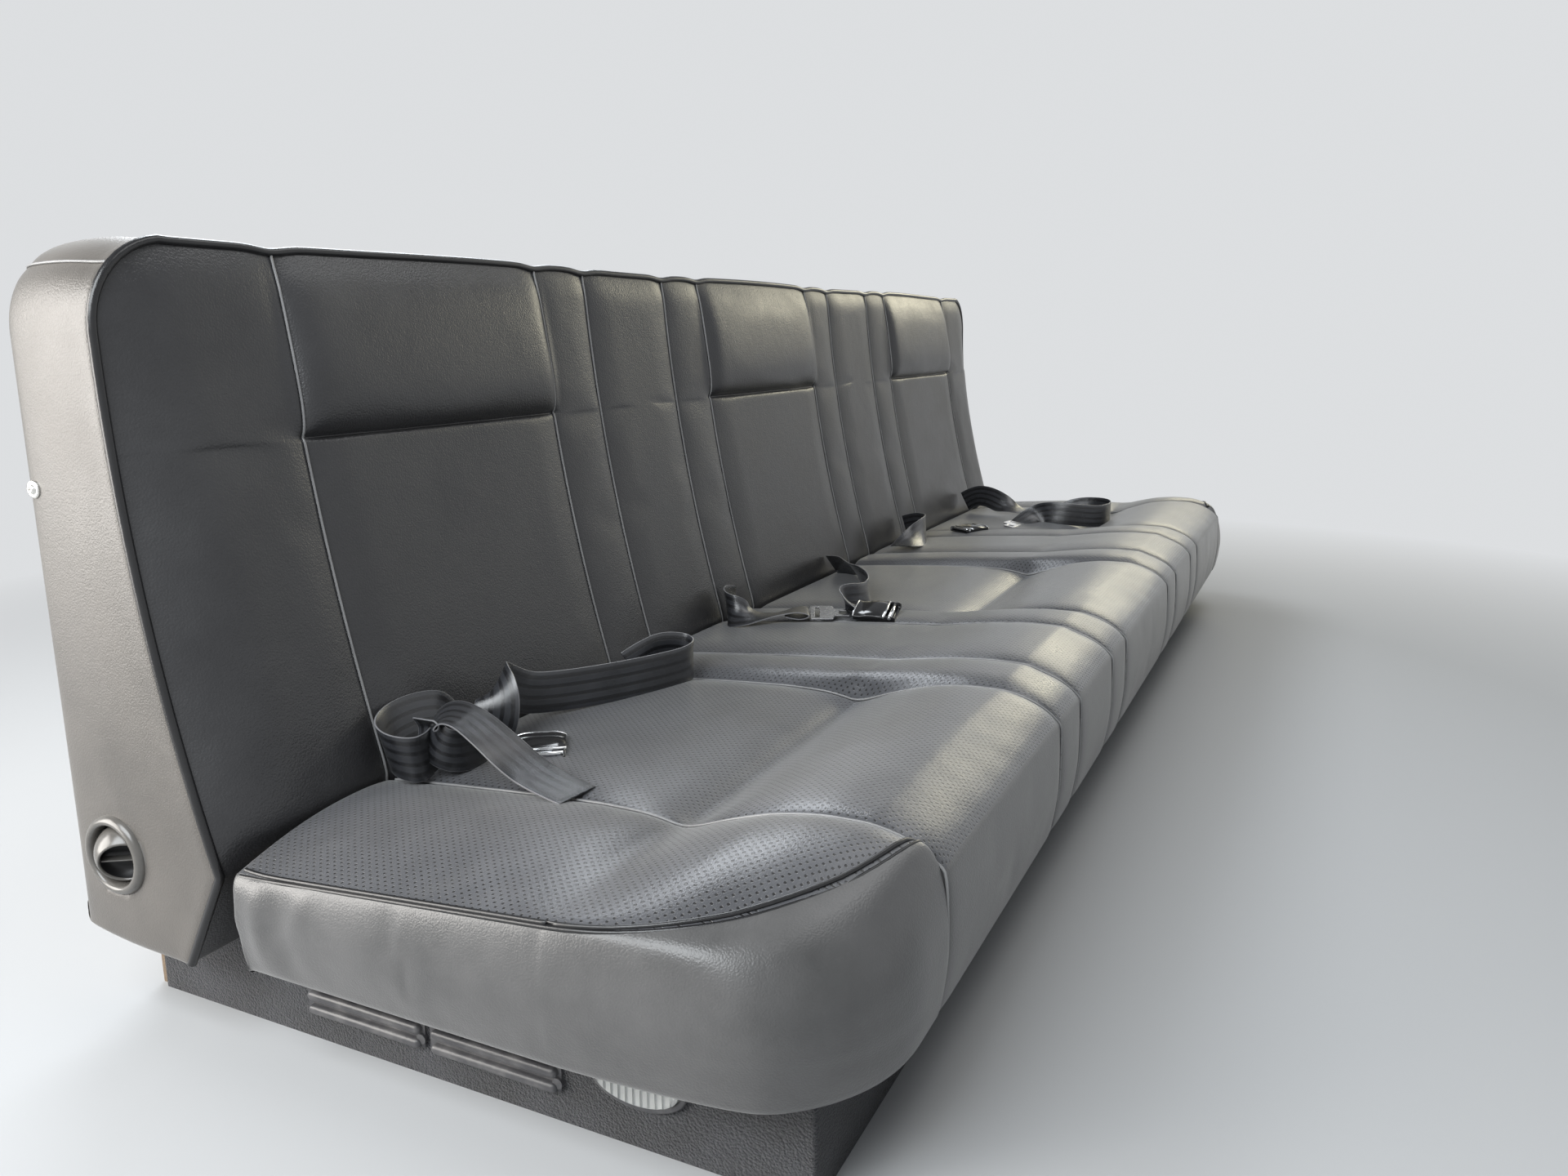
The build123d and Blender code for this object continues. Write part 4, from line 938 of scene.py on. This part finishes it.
for inset, z in ((0.011, seat_foot_z + 0.0015), (0.017, seat_foot_z), (0.040, seat_foot_z), (0.070, seat_foot_z + 0.002), (0.0705, 0.1205)):
    def under_place(facts, inset=inset, z=z):
        start, outer, away = facts
        inward = away * inset
        if away.y > 0.5:
            inward = Vector((away.x * inset, away.y * inset * 0.12, 0))
        flat = outer - inward
        return Vector((flat.x, flat.y, z))
    loop = extrude_loop(bm, loop, under_place)
bmesh.ops.recalc_face_normals(bm, faces=bm.faces)
bm.verts.index_update()
flat_map = bm.loops.layers.uv.new("laid flat")
top_verts = set(top.values())
for mesh_face in bm.faces:
    on_top = all(vert in top_verts for vert in mesh_face.verts)
    mesh_face.material_index = 0 if on_top else 1
    for corner in mesh_face.loops:
        corner[flat_map].uv = laid_flat.get(corner.vert, (corner.vert.co.x, corner.vert.co.z))
seat_seam_verts = [[top[column, row].index for row in range(seat_last_row + 1)]
                   for column in range(seat_last_column + 1) if min(abs(seat_columns[column] - seam) for seam in seams) < 1e-6]
for line, front in zip(seat_seam_verts, front_seam_verts):
    line += [vert.index for vert in front[:-1]]
sewn_down = {index for line in seat_seam_verts for index in line} | {vert.index for vert in seat_rim}
sewn_down |= {vert.index for vert in side_verts[-2 * len(loop):]}
free_cover = {vert.index for vert in top_verts} | {vert.index for vert in side_verts}
seat = object_from("seat_cover", bm)
seat.data.materials.append(lit_punched_leather)
seat.data.materials.append(lit_gusset_leather)
plumped(seat, free_cover - sewn_down, 0.0045)
smoothed(seat)
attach(seat, "root")
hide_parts("seat_cushion")
seat_seam_lines = []
for line in seat_seam_verts:
    points = [seat.data.vertices[index].co for index in line]
    seat_seam_lines.append([point + (Vector((0, 0, 0.0014)) if point.z > 0.24 or point.y > -0.38 else Vector((0, -0.0020, 0))) for point in points])
tube("seat_seams", seat_seam_lines, 0.0013, highlight_ridge_leather)
welts = welt_lines + [[Vector((-point.x, point.y, point.z)) for point in line] for line in welt_lines]
tube("seat_welts", welts, 0.0021, welt_leather)


# Belt webbing
# Black polyester webbing 48 mm wide, woven with lengthwise ribs and turned into loops on the seat.
# Each strap follows one smooth line; the lean gives the direction across its width there.
def smooth_line(points):
    curve = bpy.data.curves.new("line", "CURVE")
    curve.dimensions = "3D"
    curve.resolution_u = 10
    spline = curve.splines.new("NURBS")
    spline.points.add(len(points) - 1)
    for point, place in zip(spline.points, points):
        point.co = (*place, 1)
    spline.order_u = 3
    spline.use_endpoint_u = True
    drawn = bpy.data.objects.new("line", curve)
    scene.collection.objects.link(drawn)
    mesh = bpy.data.meshes.new_from_object(drawn.evaluated_get(bpy.context.evaluated_depsgraph_get()))
    bpy.data.objects.remove(drawn)
    return [vert.co.copy() for vert in mesh.vertices]


def webbing_material():
    material, tree = new_material("ribbed webbing")
    laid = node(tree, "ShaderNodeUVMap", uv_map="along the strap")
    parts = node(tree, "ShaderNodeSeparateXYZ", {"Vector": laid.outputs[0]})
    across = node(tree, "ShaderNodeMath", {0: parts.outputs["X"]}, operation="ABSOLUTE")
    bands = node(tree, "ShaderNodeValToRGB", {"Fac": node(tree, "ShaderNodeMath", {0: across.outputs[0], 1: 40.0}, operation="MULTIPLY").outputs[0]})
    ramp = bands.color_ramp
    ramp.elements[0].position, ramp.elements[0].color = 0.0, (1, 1, 1, 1)
    ramp.elements[1].position, ramp.elements[1].color = 1.0, (1, 1, 1, 1)
    for position, tone in ((0.13, 1.0), (0.19, 0.16), (0.29, 0.16), (0.35, 1.0), (0.56, 1.0), (0.62, 0.18), (0.74, 0.18), (0.80, 0.9)):
        ramp.elements.new(position).color = (tone, tone, tone, 1)
    ribs = node(tree, "ShaderNodeMath", {0: node(tree, "ShaderNodeMath", {0: parts.outputs["X"], 1: 5600.0}, operation="MULTIPLY").outputs[0]}, operation="SINE")
    picks = node(tree, "ShaderNodeMath", {0: node(tree, "ShaderNodeMath", {0: parts.outputs["Y"], 1: 4200.0}, operation="MULTIPLY").outputs[0]}, operation="SINE")
    weave = node(tree, "ShaderNodeMath", {0: ribs.outputs[0], 1: picks.outputs[0]}, operation="MULTIPLY")
    raised = node(tree, "ShaderNodeMath", {0: bands.outputs[0], 1: 2.2, 2: weave.outputs[0]}, operation="MULTIPLY_ADD")
    worn = node(tree, "ShaderNodeTexNoise", {"Vector": laid.outputs[0], "Scale": 16.0, "Detail": 2.0})
    shade = node(tree, "ShaderNodeMath", {0: bands.outputs[0], 1: worn.outputs[0]}, operation="MULTIPLY")
    colour = node(tree, "ShaderNodeMixRGB", {"Fac": shade.outputs[0], "Color1": (0.005, 0.005, 0.006, 1), "Color2": (0.062, 0.065, 0.073, 1)})
    # A thin band along each edge of the strap is painted light: a painted highlight where the edge catches light.
    painted_edge_highlight = node(tree, "ShaderNodeMapRange", {"Value": across.outputs[0], "From Min": 0.0234, "From Max": 0.0239})
    colour = node(tree, "ShaderNodeMixRGB", {"Fac": painted_edge_highlight.outputs[0], "Color1": colour.outputs[0], "Color2": (0.22, 0.22, 0.23, 1)})
    bump = node(tree, "ShaderNodeBump", {"Strength": 0.35, "Distance": 0.00012, "Height": raised.outputs[0]})
    rough = node(tree, "ShaderNodeMapRange", {"Value": worn.outputs[0], "To Min": 0.17, "To Max": 0.27})
    shader = node(tree, "ShaderNodeBsdfPrincipled", {
        "Base Color": colour.outputs[0], "Roughness": rough.outputs[0], "Specular IOR Level": 1.0, "Sheen Weight": 0.05,
        "Sheen Roughness": 0.35, "Normal": bump.outputs[0]})
    surface(tree, shader.outputs[0])
    return material


webbing = webbing_material()
half_web, web_thick = 0.024, 0.0015
# Columns: CAD node that it stands for, then its route: place, and lean across its width
routes = (
    ("belt_1_buckle_strap", (
        ((-0.905, 0.176, 0.205), (0.2, 0, 1)), ((-0.928, 0.180, 0.262), (0, 0.25, 1)), ((-0.960, 0.190, 0.268), (0, 0.3, 1)),
        ((-0.998, 0.191, 0.266), (0, 0.3, 1)), ((-1.028, 0.178, 0.260), (-0.2, 0.2, 1)), ((-1.041, 0.155, 0.255), (-0.25, 0, 1)),
        ((-1.036, 0.131, 0.252), (-0.15, -0.1, 1)), ((-1.019, 0.128, 0.251), (0, 0, 1)), ((-0.998, 0.138, 0.252), (0, 0, 1)),
        ((-0.974, 0.142, 0.253), (0, 0, 1)), ((-0.951, 0.136, 0.254), (0, 0, 1)), ((-0.941, 0.119, 0.254), (0, 0, 1)),
        ((-0.954, 0.103, 0.254), (0, 0, 1)), ((-0.982, 0.099, 0.254), (-0.05, -0.1, 1)), ((-1.006, 0.103, 0.256), (-0.2, -0.25, 1)),
        ((-1.016, 0.116, 0.262), (-0.1, -0.3, 1)), ((-1.009, 0.130, 0.272), (0.35, -0.25, 0.9)), ((-0.999, 0.130, 0.284), (0.8, 0, 0.55)),
        ((-0.998, 0.112, 0.292), (0.97, 0.1, 0.15)), ((-1.000, 0.088, 0.290), (0.97, -0.1, 0)), ((-1.003, 0.060, 0.2765), (0.97, -0.15, 0)),
        ((-1.004, 0.030, 0.2570), (0.95, -0.25, 0)), ((-1.008, -0.005, 0.2440), (0.93, -0.35, 0)), ((-1.014, -0.045, 0.2395), (0.92, -0.38, 0)))),
    ("belt_1_tongue_strap", (
        ((-0.910, 0.162, 0.212), (0.43, -0.90, 0)), ((-0.912, 0.146, 0.230), (0.46, -0.89, 0)), ((-0.911, 0.133, 0.250), (0.45, -0.89, 0.02)),
        ((-0.909, 0.130, 0.268), (0.45, -0.87, 0.14)), ((-0.903, 0.134, 0.283), (0.40, -0.78, 0.42)), ((-0.892, 0.144, 0.290), (0.22, -0.45, 0.85)),
        ((-0.874, 0.152, 0.283), (0, -0.1, 0.99)), ((-0.850, 0.150, 0.268), (0, 0, 1)), ((-0.8255, 0.145, 0.258), (0, 0, 1)),
        ((-0.782, 0.116, 0.256), (0, 0, 1)), ((-0.7315, 0.088, 0.2555), (0, 0, 1)), ((-0.684, 0.066, 0.2555), (0, 0, 1)),
        ((-0.648, 0.053, 0.256), (0, 0, 1)), ((-0.618, 0.056, 0.258), (0, 0, 1)), ((-0.612, 0.078, 0.263), (0, 0, 1)),
        ((-0.640, 0.094, 0.268), (0, 0.05, 1)), ((-0.672, 0.098, 0.265), (0, 0.1, 1)), ((-0.690, 0.105, 0.256), (0, 0.3, 0.95)))),
    ("belt_2_tongue_strap", (
        ((-0.288, 0.176, 0.250), (0, 0, 1)), ((-0.312, 0.173, 0.258), (0, 0.1, 1)), ((-0.338, 0.165, 0.257), (0.1, 0.2, 0.95)),
        ((-0.358, 0.147, 0.253), (0.3, 0.35, 0.85)), ((-0.361, 0.124, 0.2495), (0.6, 0.45, 0.5)), ((-0.351, 0.106, 0.2475), (0.85, 0.42, 0.05)),
        ((-0.338, 0.090, 0.2480), (0.88, 0.42, -0.12)), ((-0.327, 0.074, 0.2500), (0.88, 0.42, -0.15)), ((-0.3165, 0.060, 0.2535), (0.89, 0.43, -0.08)),
        ((-0.3085, 0.048, 0.2535), (0.90, 0.43, 0)), ((-0.3045, 0.042, 0.2500), (0.90, 0.43, 0)), ((-0.3085, 0.048, 0.2455), (0.90, 0.43, 0)),
        ((-0.316, 0.060, 0.2450), (0.90, 0.43, 0)), ((-0.324, 0.074, 0.2475), (0.88, 0.42, -0.08)))),
    ("belt_2_buckle_strap", (
        ((0.0965, 0.176, 0.236), (0, 0.7, 0.6)), ((0.060, 0.130, 0.250), (0, 0.8, 0.5)), ((-0.010, 0.088, 0.256), (0.1, 0.8, 0.55)),
        ((-0.080, 0.056, 0.260), (0.2, 0.6, 0.8)), ((-0.130, 0.030, 0.266), (0.25, 0.3, 0.9)), ((-0.168, 0.002, 0.262), (0.3, 0.2, 0.92)),
        ((-0.196, -0.012, 0.257), (0.1, 0.25, 0.95)), ((-0.222, -0.008, 0.258), (-0.1, 0.2, 0.97)), ((-0.246, 0.004, 0.262), (-0.3, 0.1, 0.9)),
        ((-0.262, 0.006, 0.262), (-0.6, 0.0, 0.75)), ((-0.270, -0.012, 0.258), (-0.8, -0.2, 0.5)), ((-0.272, -0.030, 0.2600), (-0.95, -0.15, 0.1)))),
    ("belt_3_buckle_strap", (
        ((0.4825, 0.176, 0.252), (0, 0, 1)), ((0.476, 0.150, 0.262), (0, 0, 1)), ((0.456, 0.120, 0.262), (0, 0, 1)),
        ((0.424, 0.112, 0.261), (0, 0.15, 1)), ((0.390, 0.110, 0.257), (0.15, 0.45, 0.85)), ((0.350, 0.112, 0.249), (0.35, 0.75, 0.45)),
        ((0.305, 0.120, 0.2435), (0.45, 0.85, -0.05)))),
    ("belt_3_tongue_strap", (
        ((0.9125, 0.176, 0.250), (0, 0, 1)), ((0.905, 0.150, 0.268), (0.2, 0.1, 0.97)), ((0.885, 0.110, 0.270), (0.35, 0.2, 0.9)),
        ((0.862, 0.070, 0.258), (0.6, 0.3, 0.7)), ((0.850, 0.030, 0.2455), (0.95, 0.2, 0.1)), ((0.852, -0.020, 0.2435), (1, 0, 0)),
        ((0.862, -0.060, 0.246), (0.9, 0, 0.3)), ((0.880, -0.105, 0.258), (0.3, 0, 0.95)), ((0.874, -0.165, 0.261), (0, 0, 1)),
        ((0.836, -0.190, 0.258), (0, 0, 1)), ((0.770, -0.176, 0.256), (0, 0, 1)), ((0.740, -0.120, 0.261), (0, 0, 1)),
        ((0.736, -0.078, 0.264), (0.1, 0.1, 1)), ((0.745, -0.045, 0.257), (0.3, 0.7, 0.7)), ((0.732, -0.026, 0.249), (0.15, 0.95, 0.3)),
        ((0.706, -0.012, 0.2395), (0.18, 0.98, 0)))),
)
for name, route in routes:
    middle = smooth_line([Vector(place) for place, lean in route])
    leaning = smooth_line([Vector(place) + Vector(lean).normalized() for place, lean in route])
    runs = [0.0]
    for before, after in zip(middle, middle[1:]):
        runs.append(runs[-1] + (after - before).length)
    half_widths = []
    for step, place in enumerate(middle):
        way = (middle[min(step + 1, len(middle) - 1)] - middle[max(step - 1, 0)]).normalized()
        lean = leaning[step] - place
        half_widths.append((lean - way * lean.dot(way)).normalized() * half_web)
    bm, strap = grid((-1, -0.6, -0.2, 0.2, 0.6, 1), range(len(middle)), lambda across, step: middle[step] + half_widths[step] * across)
    along_map = bm.loops.layers.uv.new("along the strap")
    for (column, step), vert in strap.items():
        for corner in vert.link_loops:
            corner[along_map].uv = (half_web * (-1, -0.6, -0.2, 0.2, 0.6, 1)[column], runs[step])
    piece = object_from(name + "_webbing", bm)
    piece.data.materials.append(webbing)
    wall = piece.modifiers.new("thickness", "SOLIDIFY")
    wall.thickness, wall.offset = web_thick, 0
    edge = piece.modifiers.new("soft edge", "BEVEL")
    edge.width, edge.segments, edge.angle_limit = 0.0005, 2, math.radians(60)
    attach(piece, "root")
    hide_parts(name)
    print(name, "length", round(runs[-1], 4))


# Buckles and tongues
# Lift-cover lap belt buckles: a black pressed tray with a bar for the strap, a bowed black cover on a hinge
# pin, and flat chromed tongues with a slot for their strap and a window that the latch catches.
chrome, tree = new_material("polished chrome")
place = node(tree, "ShaderNodeTexCoord")
smear = node(tree, "ShaderNodeTexNoise", {"Vector": place.outputs["Object"], "Scale": 120.0, "Detail": 4.0})
rough = node(tree, "ShaderNodeMapRange", {"Value": smear.outputs[0], "To Min": 0.06, "To Max": 0.16})
chrome_shader = node(tree, "ShaderNodeBsdfPrincipled", {"Base Color": (0.78, 0.79, 0.80, 1), "Metallic": 1.0, "Roughness": rough.outputs[0]})
surface(tree, chrome_shader.outputs[0])
satin_chrome, tree = new_material("satin chrome")
place = node(tree, "ShaderNodeTexCoord")
rubs = node(tree, "ShaderNodeTexNoise", {"Vector": place.outputs["Object"], "Scale": 150.0, "Detail": 4.0})
rough = node(tree, "ShaderNodeMapRange", {"Value": rubs.outputs[0], "To Min": 0.18, "To Max": 0.34})
satin_shader = node(tree, "ShaderNodeBsdfPrincipled", {"Base Color": (0.86, 0.86, 0.87, 1), "Metallic": 1.0, "Roughness": rough.outputs[0]})
surface(tree, satin_shader.outputs[0])
gloss_black, tree = new_material("gloss black cover")
place = node(tree, "ShaderNodeTexCoord")
smear = node(tree, "ShaderNodeTexNoise", {"Vector": place.outputs["Object"], "Scale": 200.0, "Detail": 4.0})
rough = node(tree, "ShaderNodeMapRange", {"Value": smear.outputs[0], "To Min": 0.07, "To Max": 0.20})
gloss_shader = node(tree, "ShaderNodeBsdfPrincipled", {"Base Color": (0.012, 0.012, 0.013, 1), "Roughness": rough.outputs[0], "Specular IOR Level": 0.8})
surface(tree, gloss_shader.outputs[0])


def shell(name, bm, thick, soft, materials, slot, matrix, stands_for=()):
    bmesh.ops.transform(bm, matrix=matrix, verts=bm.verts)
    made = finished(name, bm, materials, slot, stands_for)
    wall = made.modifiers.new("wall", "SOLIDIFY")
    wall.thickness, wall.offset = thick, 0
    edge = made.modifiers.new("soft edge", "BEVEL")
    edge.width, edge.segments, edge.angle_limit = soft, 2, math.radians(50)
    return made


def rounded(points, radius):
    outline = []
    for before, corner, after in zip(points[-1:] + points[:-1], points, points[1:] + points[:1]):
        here = Vector(corner)
        start = here + (Vector(before) - here).normalized() * radius
        end = here + (Vector(after) - here).normalized() * radius
        for step in range(6):
            share = step / 5
            outline.append(start * (1 - share) ** 2 + here * 2 * share * (1 - share) + end * share ** 2)
    return outline


def plate(name, outlines, thick, soft, material, slot, matrix, stands_for=()):
    curve = bpy.data.curves.new(name, "CURVE")
    curve.dimensions, curve.fill_mode = "2D", "BOTH"
    curve.extrude, curve.bevel_depth, curve.bevel_resolution = thick / 2 - soft, soft, 1
    curve.offset = -soft
    for outline in outlines:
        spline = curve.splines.new("POLY")
        spline.points.add(len(outline) - 1)
        for point, place in zip(spline.points, outline):
            point.co = (place.x, place.y, 0, 1)
        spline.use_cyclic_u = True
    drawn = bpy.data.objects.new(name, curve)
    scene.collection.objects.link(drawn)
    mesh = bpy.data.meshes.new_from_object(drawn.evaluated_get(bpy.context.evaluated_depsgraph_get()))
    bpy.data.objects.remove(drawn)
    bm = bmesh.new()
    bm.from_mesh(mesh)
    bmesh.ops.remove_doubles(bm, verts=bm.verts, dist=1e-6)
    bmesh.ops.transform(bm, matrix=matrix, verts=bm.verts)
    made = finished(name, bm, [material], slot, stands_for)
    for polygon in made.data.polygons:
        polygon.use_smooth = False
    return made


def oblong(x, y, half_x, half_y):
    return [(x - half_x, y - half_y), (x + half_x, y - half_y), (x + half_x, y + half_y), (x - half_x, y + half_y)]


tee = [(0.0165, -0.025), (0.0165, 0.025), (-0.0165, 0.025), (-0.0195, 0.0125), (-0.0429, 0.0115), (-0.0429, -0.0115), (-0.0195, -0.0125),
       (-0.0165, -0.025)]
# Columns: number, then x, y, height, turn and tilt of the buckle, and the same of the tongue
fittings = (
    (1, (-0.9205, 0.068, 0.2320, 35, 0), (-0.7005, 0.115, 0.2325, -25, 0)),
    (2, (-0.2805, -0.056, 0.2520, 99, -12), (-0.2965, 0.026, 0.2490, 115, -9)),
    (3, (0.5645, 0.060, 0.2385, -30, 0), (0.6905, -0.010, 0.2400, -10, 6)),
)
for number, (x, y, z, turn, tilt), (tongue_x, tongue_y, tongue_z, tongue_turn, tongue_tilt) in fittings:
    stands = Matrix.Translation((x, y, z)) @ Matrix.Rotation(math.radians(turn), 4, "Z") @ Matrix.Rotation(math.radians(tilt), 4, "X")
    tray_edges = ((-0.0250, 0.0095), (-0.0250, 0.0030), (-0.0240, 0.0013), (-0.0220, 0.0010), (0.0220, 0.0010), (0.0240, 0.0013), (0.0250, 0.0030), (0.0250, 0.0095))
    bm, tray = grid(range(8), (-0.031, -0.028, 0.0, 0.028, 0.031), lambda column, x: Vector((
        x, tray_edges[column][0], tray_edges[column][1] - (0.003 if abs(x) > 0.030 and column in (0, 7) else 0))))
    shell(f"belt_{number}_buckle_tray", bm, 0.0020, 0.0006, [gloss_black], "black_plastic", stands, [f"belt_{number}_buckle"])

    def cover_place(across, x):
        bow = 0.0125 - 0.0030 * ((x - 0.004) / 0.018) ** 2
        if x > 0.016:
            bow += 0.0046 * ((x - 0.016) / 0.014) ** 2
        return Vector((x, 0.0262 * across, bow - 0.0042 * abs(across) ** 5))
    bm, cover = grid((-1, -0.93, -0.8, -0.5, 0, 0.5, 0.8, 0.93, 1), [-0.014 + 0.0028 * step for step in range(17)], cover_place)
    lid = shell(f"belt_{number}_buckle_cover", bm, 0.0020, 0.0007, [gloss_black], "black_plastic", stands)
    soften = lid.modifiers.new("bow", "SUBSURF")
    soften.levels = soften.render_levels = 1
    bm = bmesh.new()
    for along_x, high, half, radius in ((-0.0140, 0.0085, 0.0272, 0.0021), (-0.0225, 0.0062, 0.0262, 0.0030)):
        lathe(bm, ((0, -half), (radius * 0.8, -half), (radius, -half + 0.0006), (radius, half - 0.0006), (radius * 0.8, half), (0, half)),
              stands @ Matrix.Translation((along_x, 0, high)) @ Matrix.Rotation(math.pi / 2, 4, "X"), steps=20)
    finished(f"belt_{number}_buckle_pins", bm, [chrome], "chrome")
    lip = [stands @ cover_place(across / 10, 0.0312) for across in range(-10, 11)]
    tube(f"belt_{number}_buckle_lip", [lip], 0.0013, chrome)
    lies = Matrix.Translation((tongue_x, tongue_y, tongue_z)) @ Matrix.Rotation(math.radians(tongue_turn), 4, "Z") @ Matrix.Rotation(math.radians(tongue_tilt), 4, "X")
    plate(f"belt_{number}_tongue_plate", [rounded(tee, 0.0028), rounded(oblong(0.0066, 0, 0.0035, 0.020), 0.0020), rounded(oblong(-0.031, 0, 0.0055, 0.0065), 0.0020)],
          0.0024, 0.0003, satin_chrome, "chrome", lies, [f"belt_{number}_tongue"])
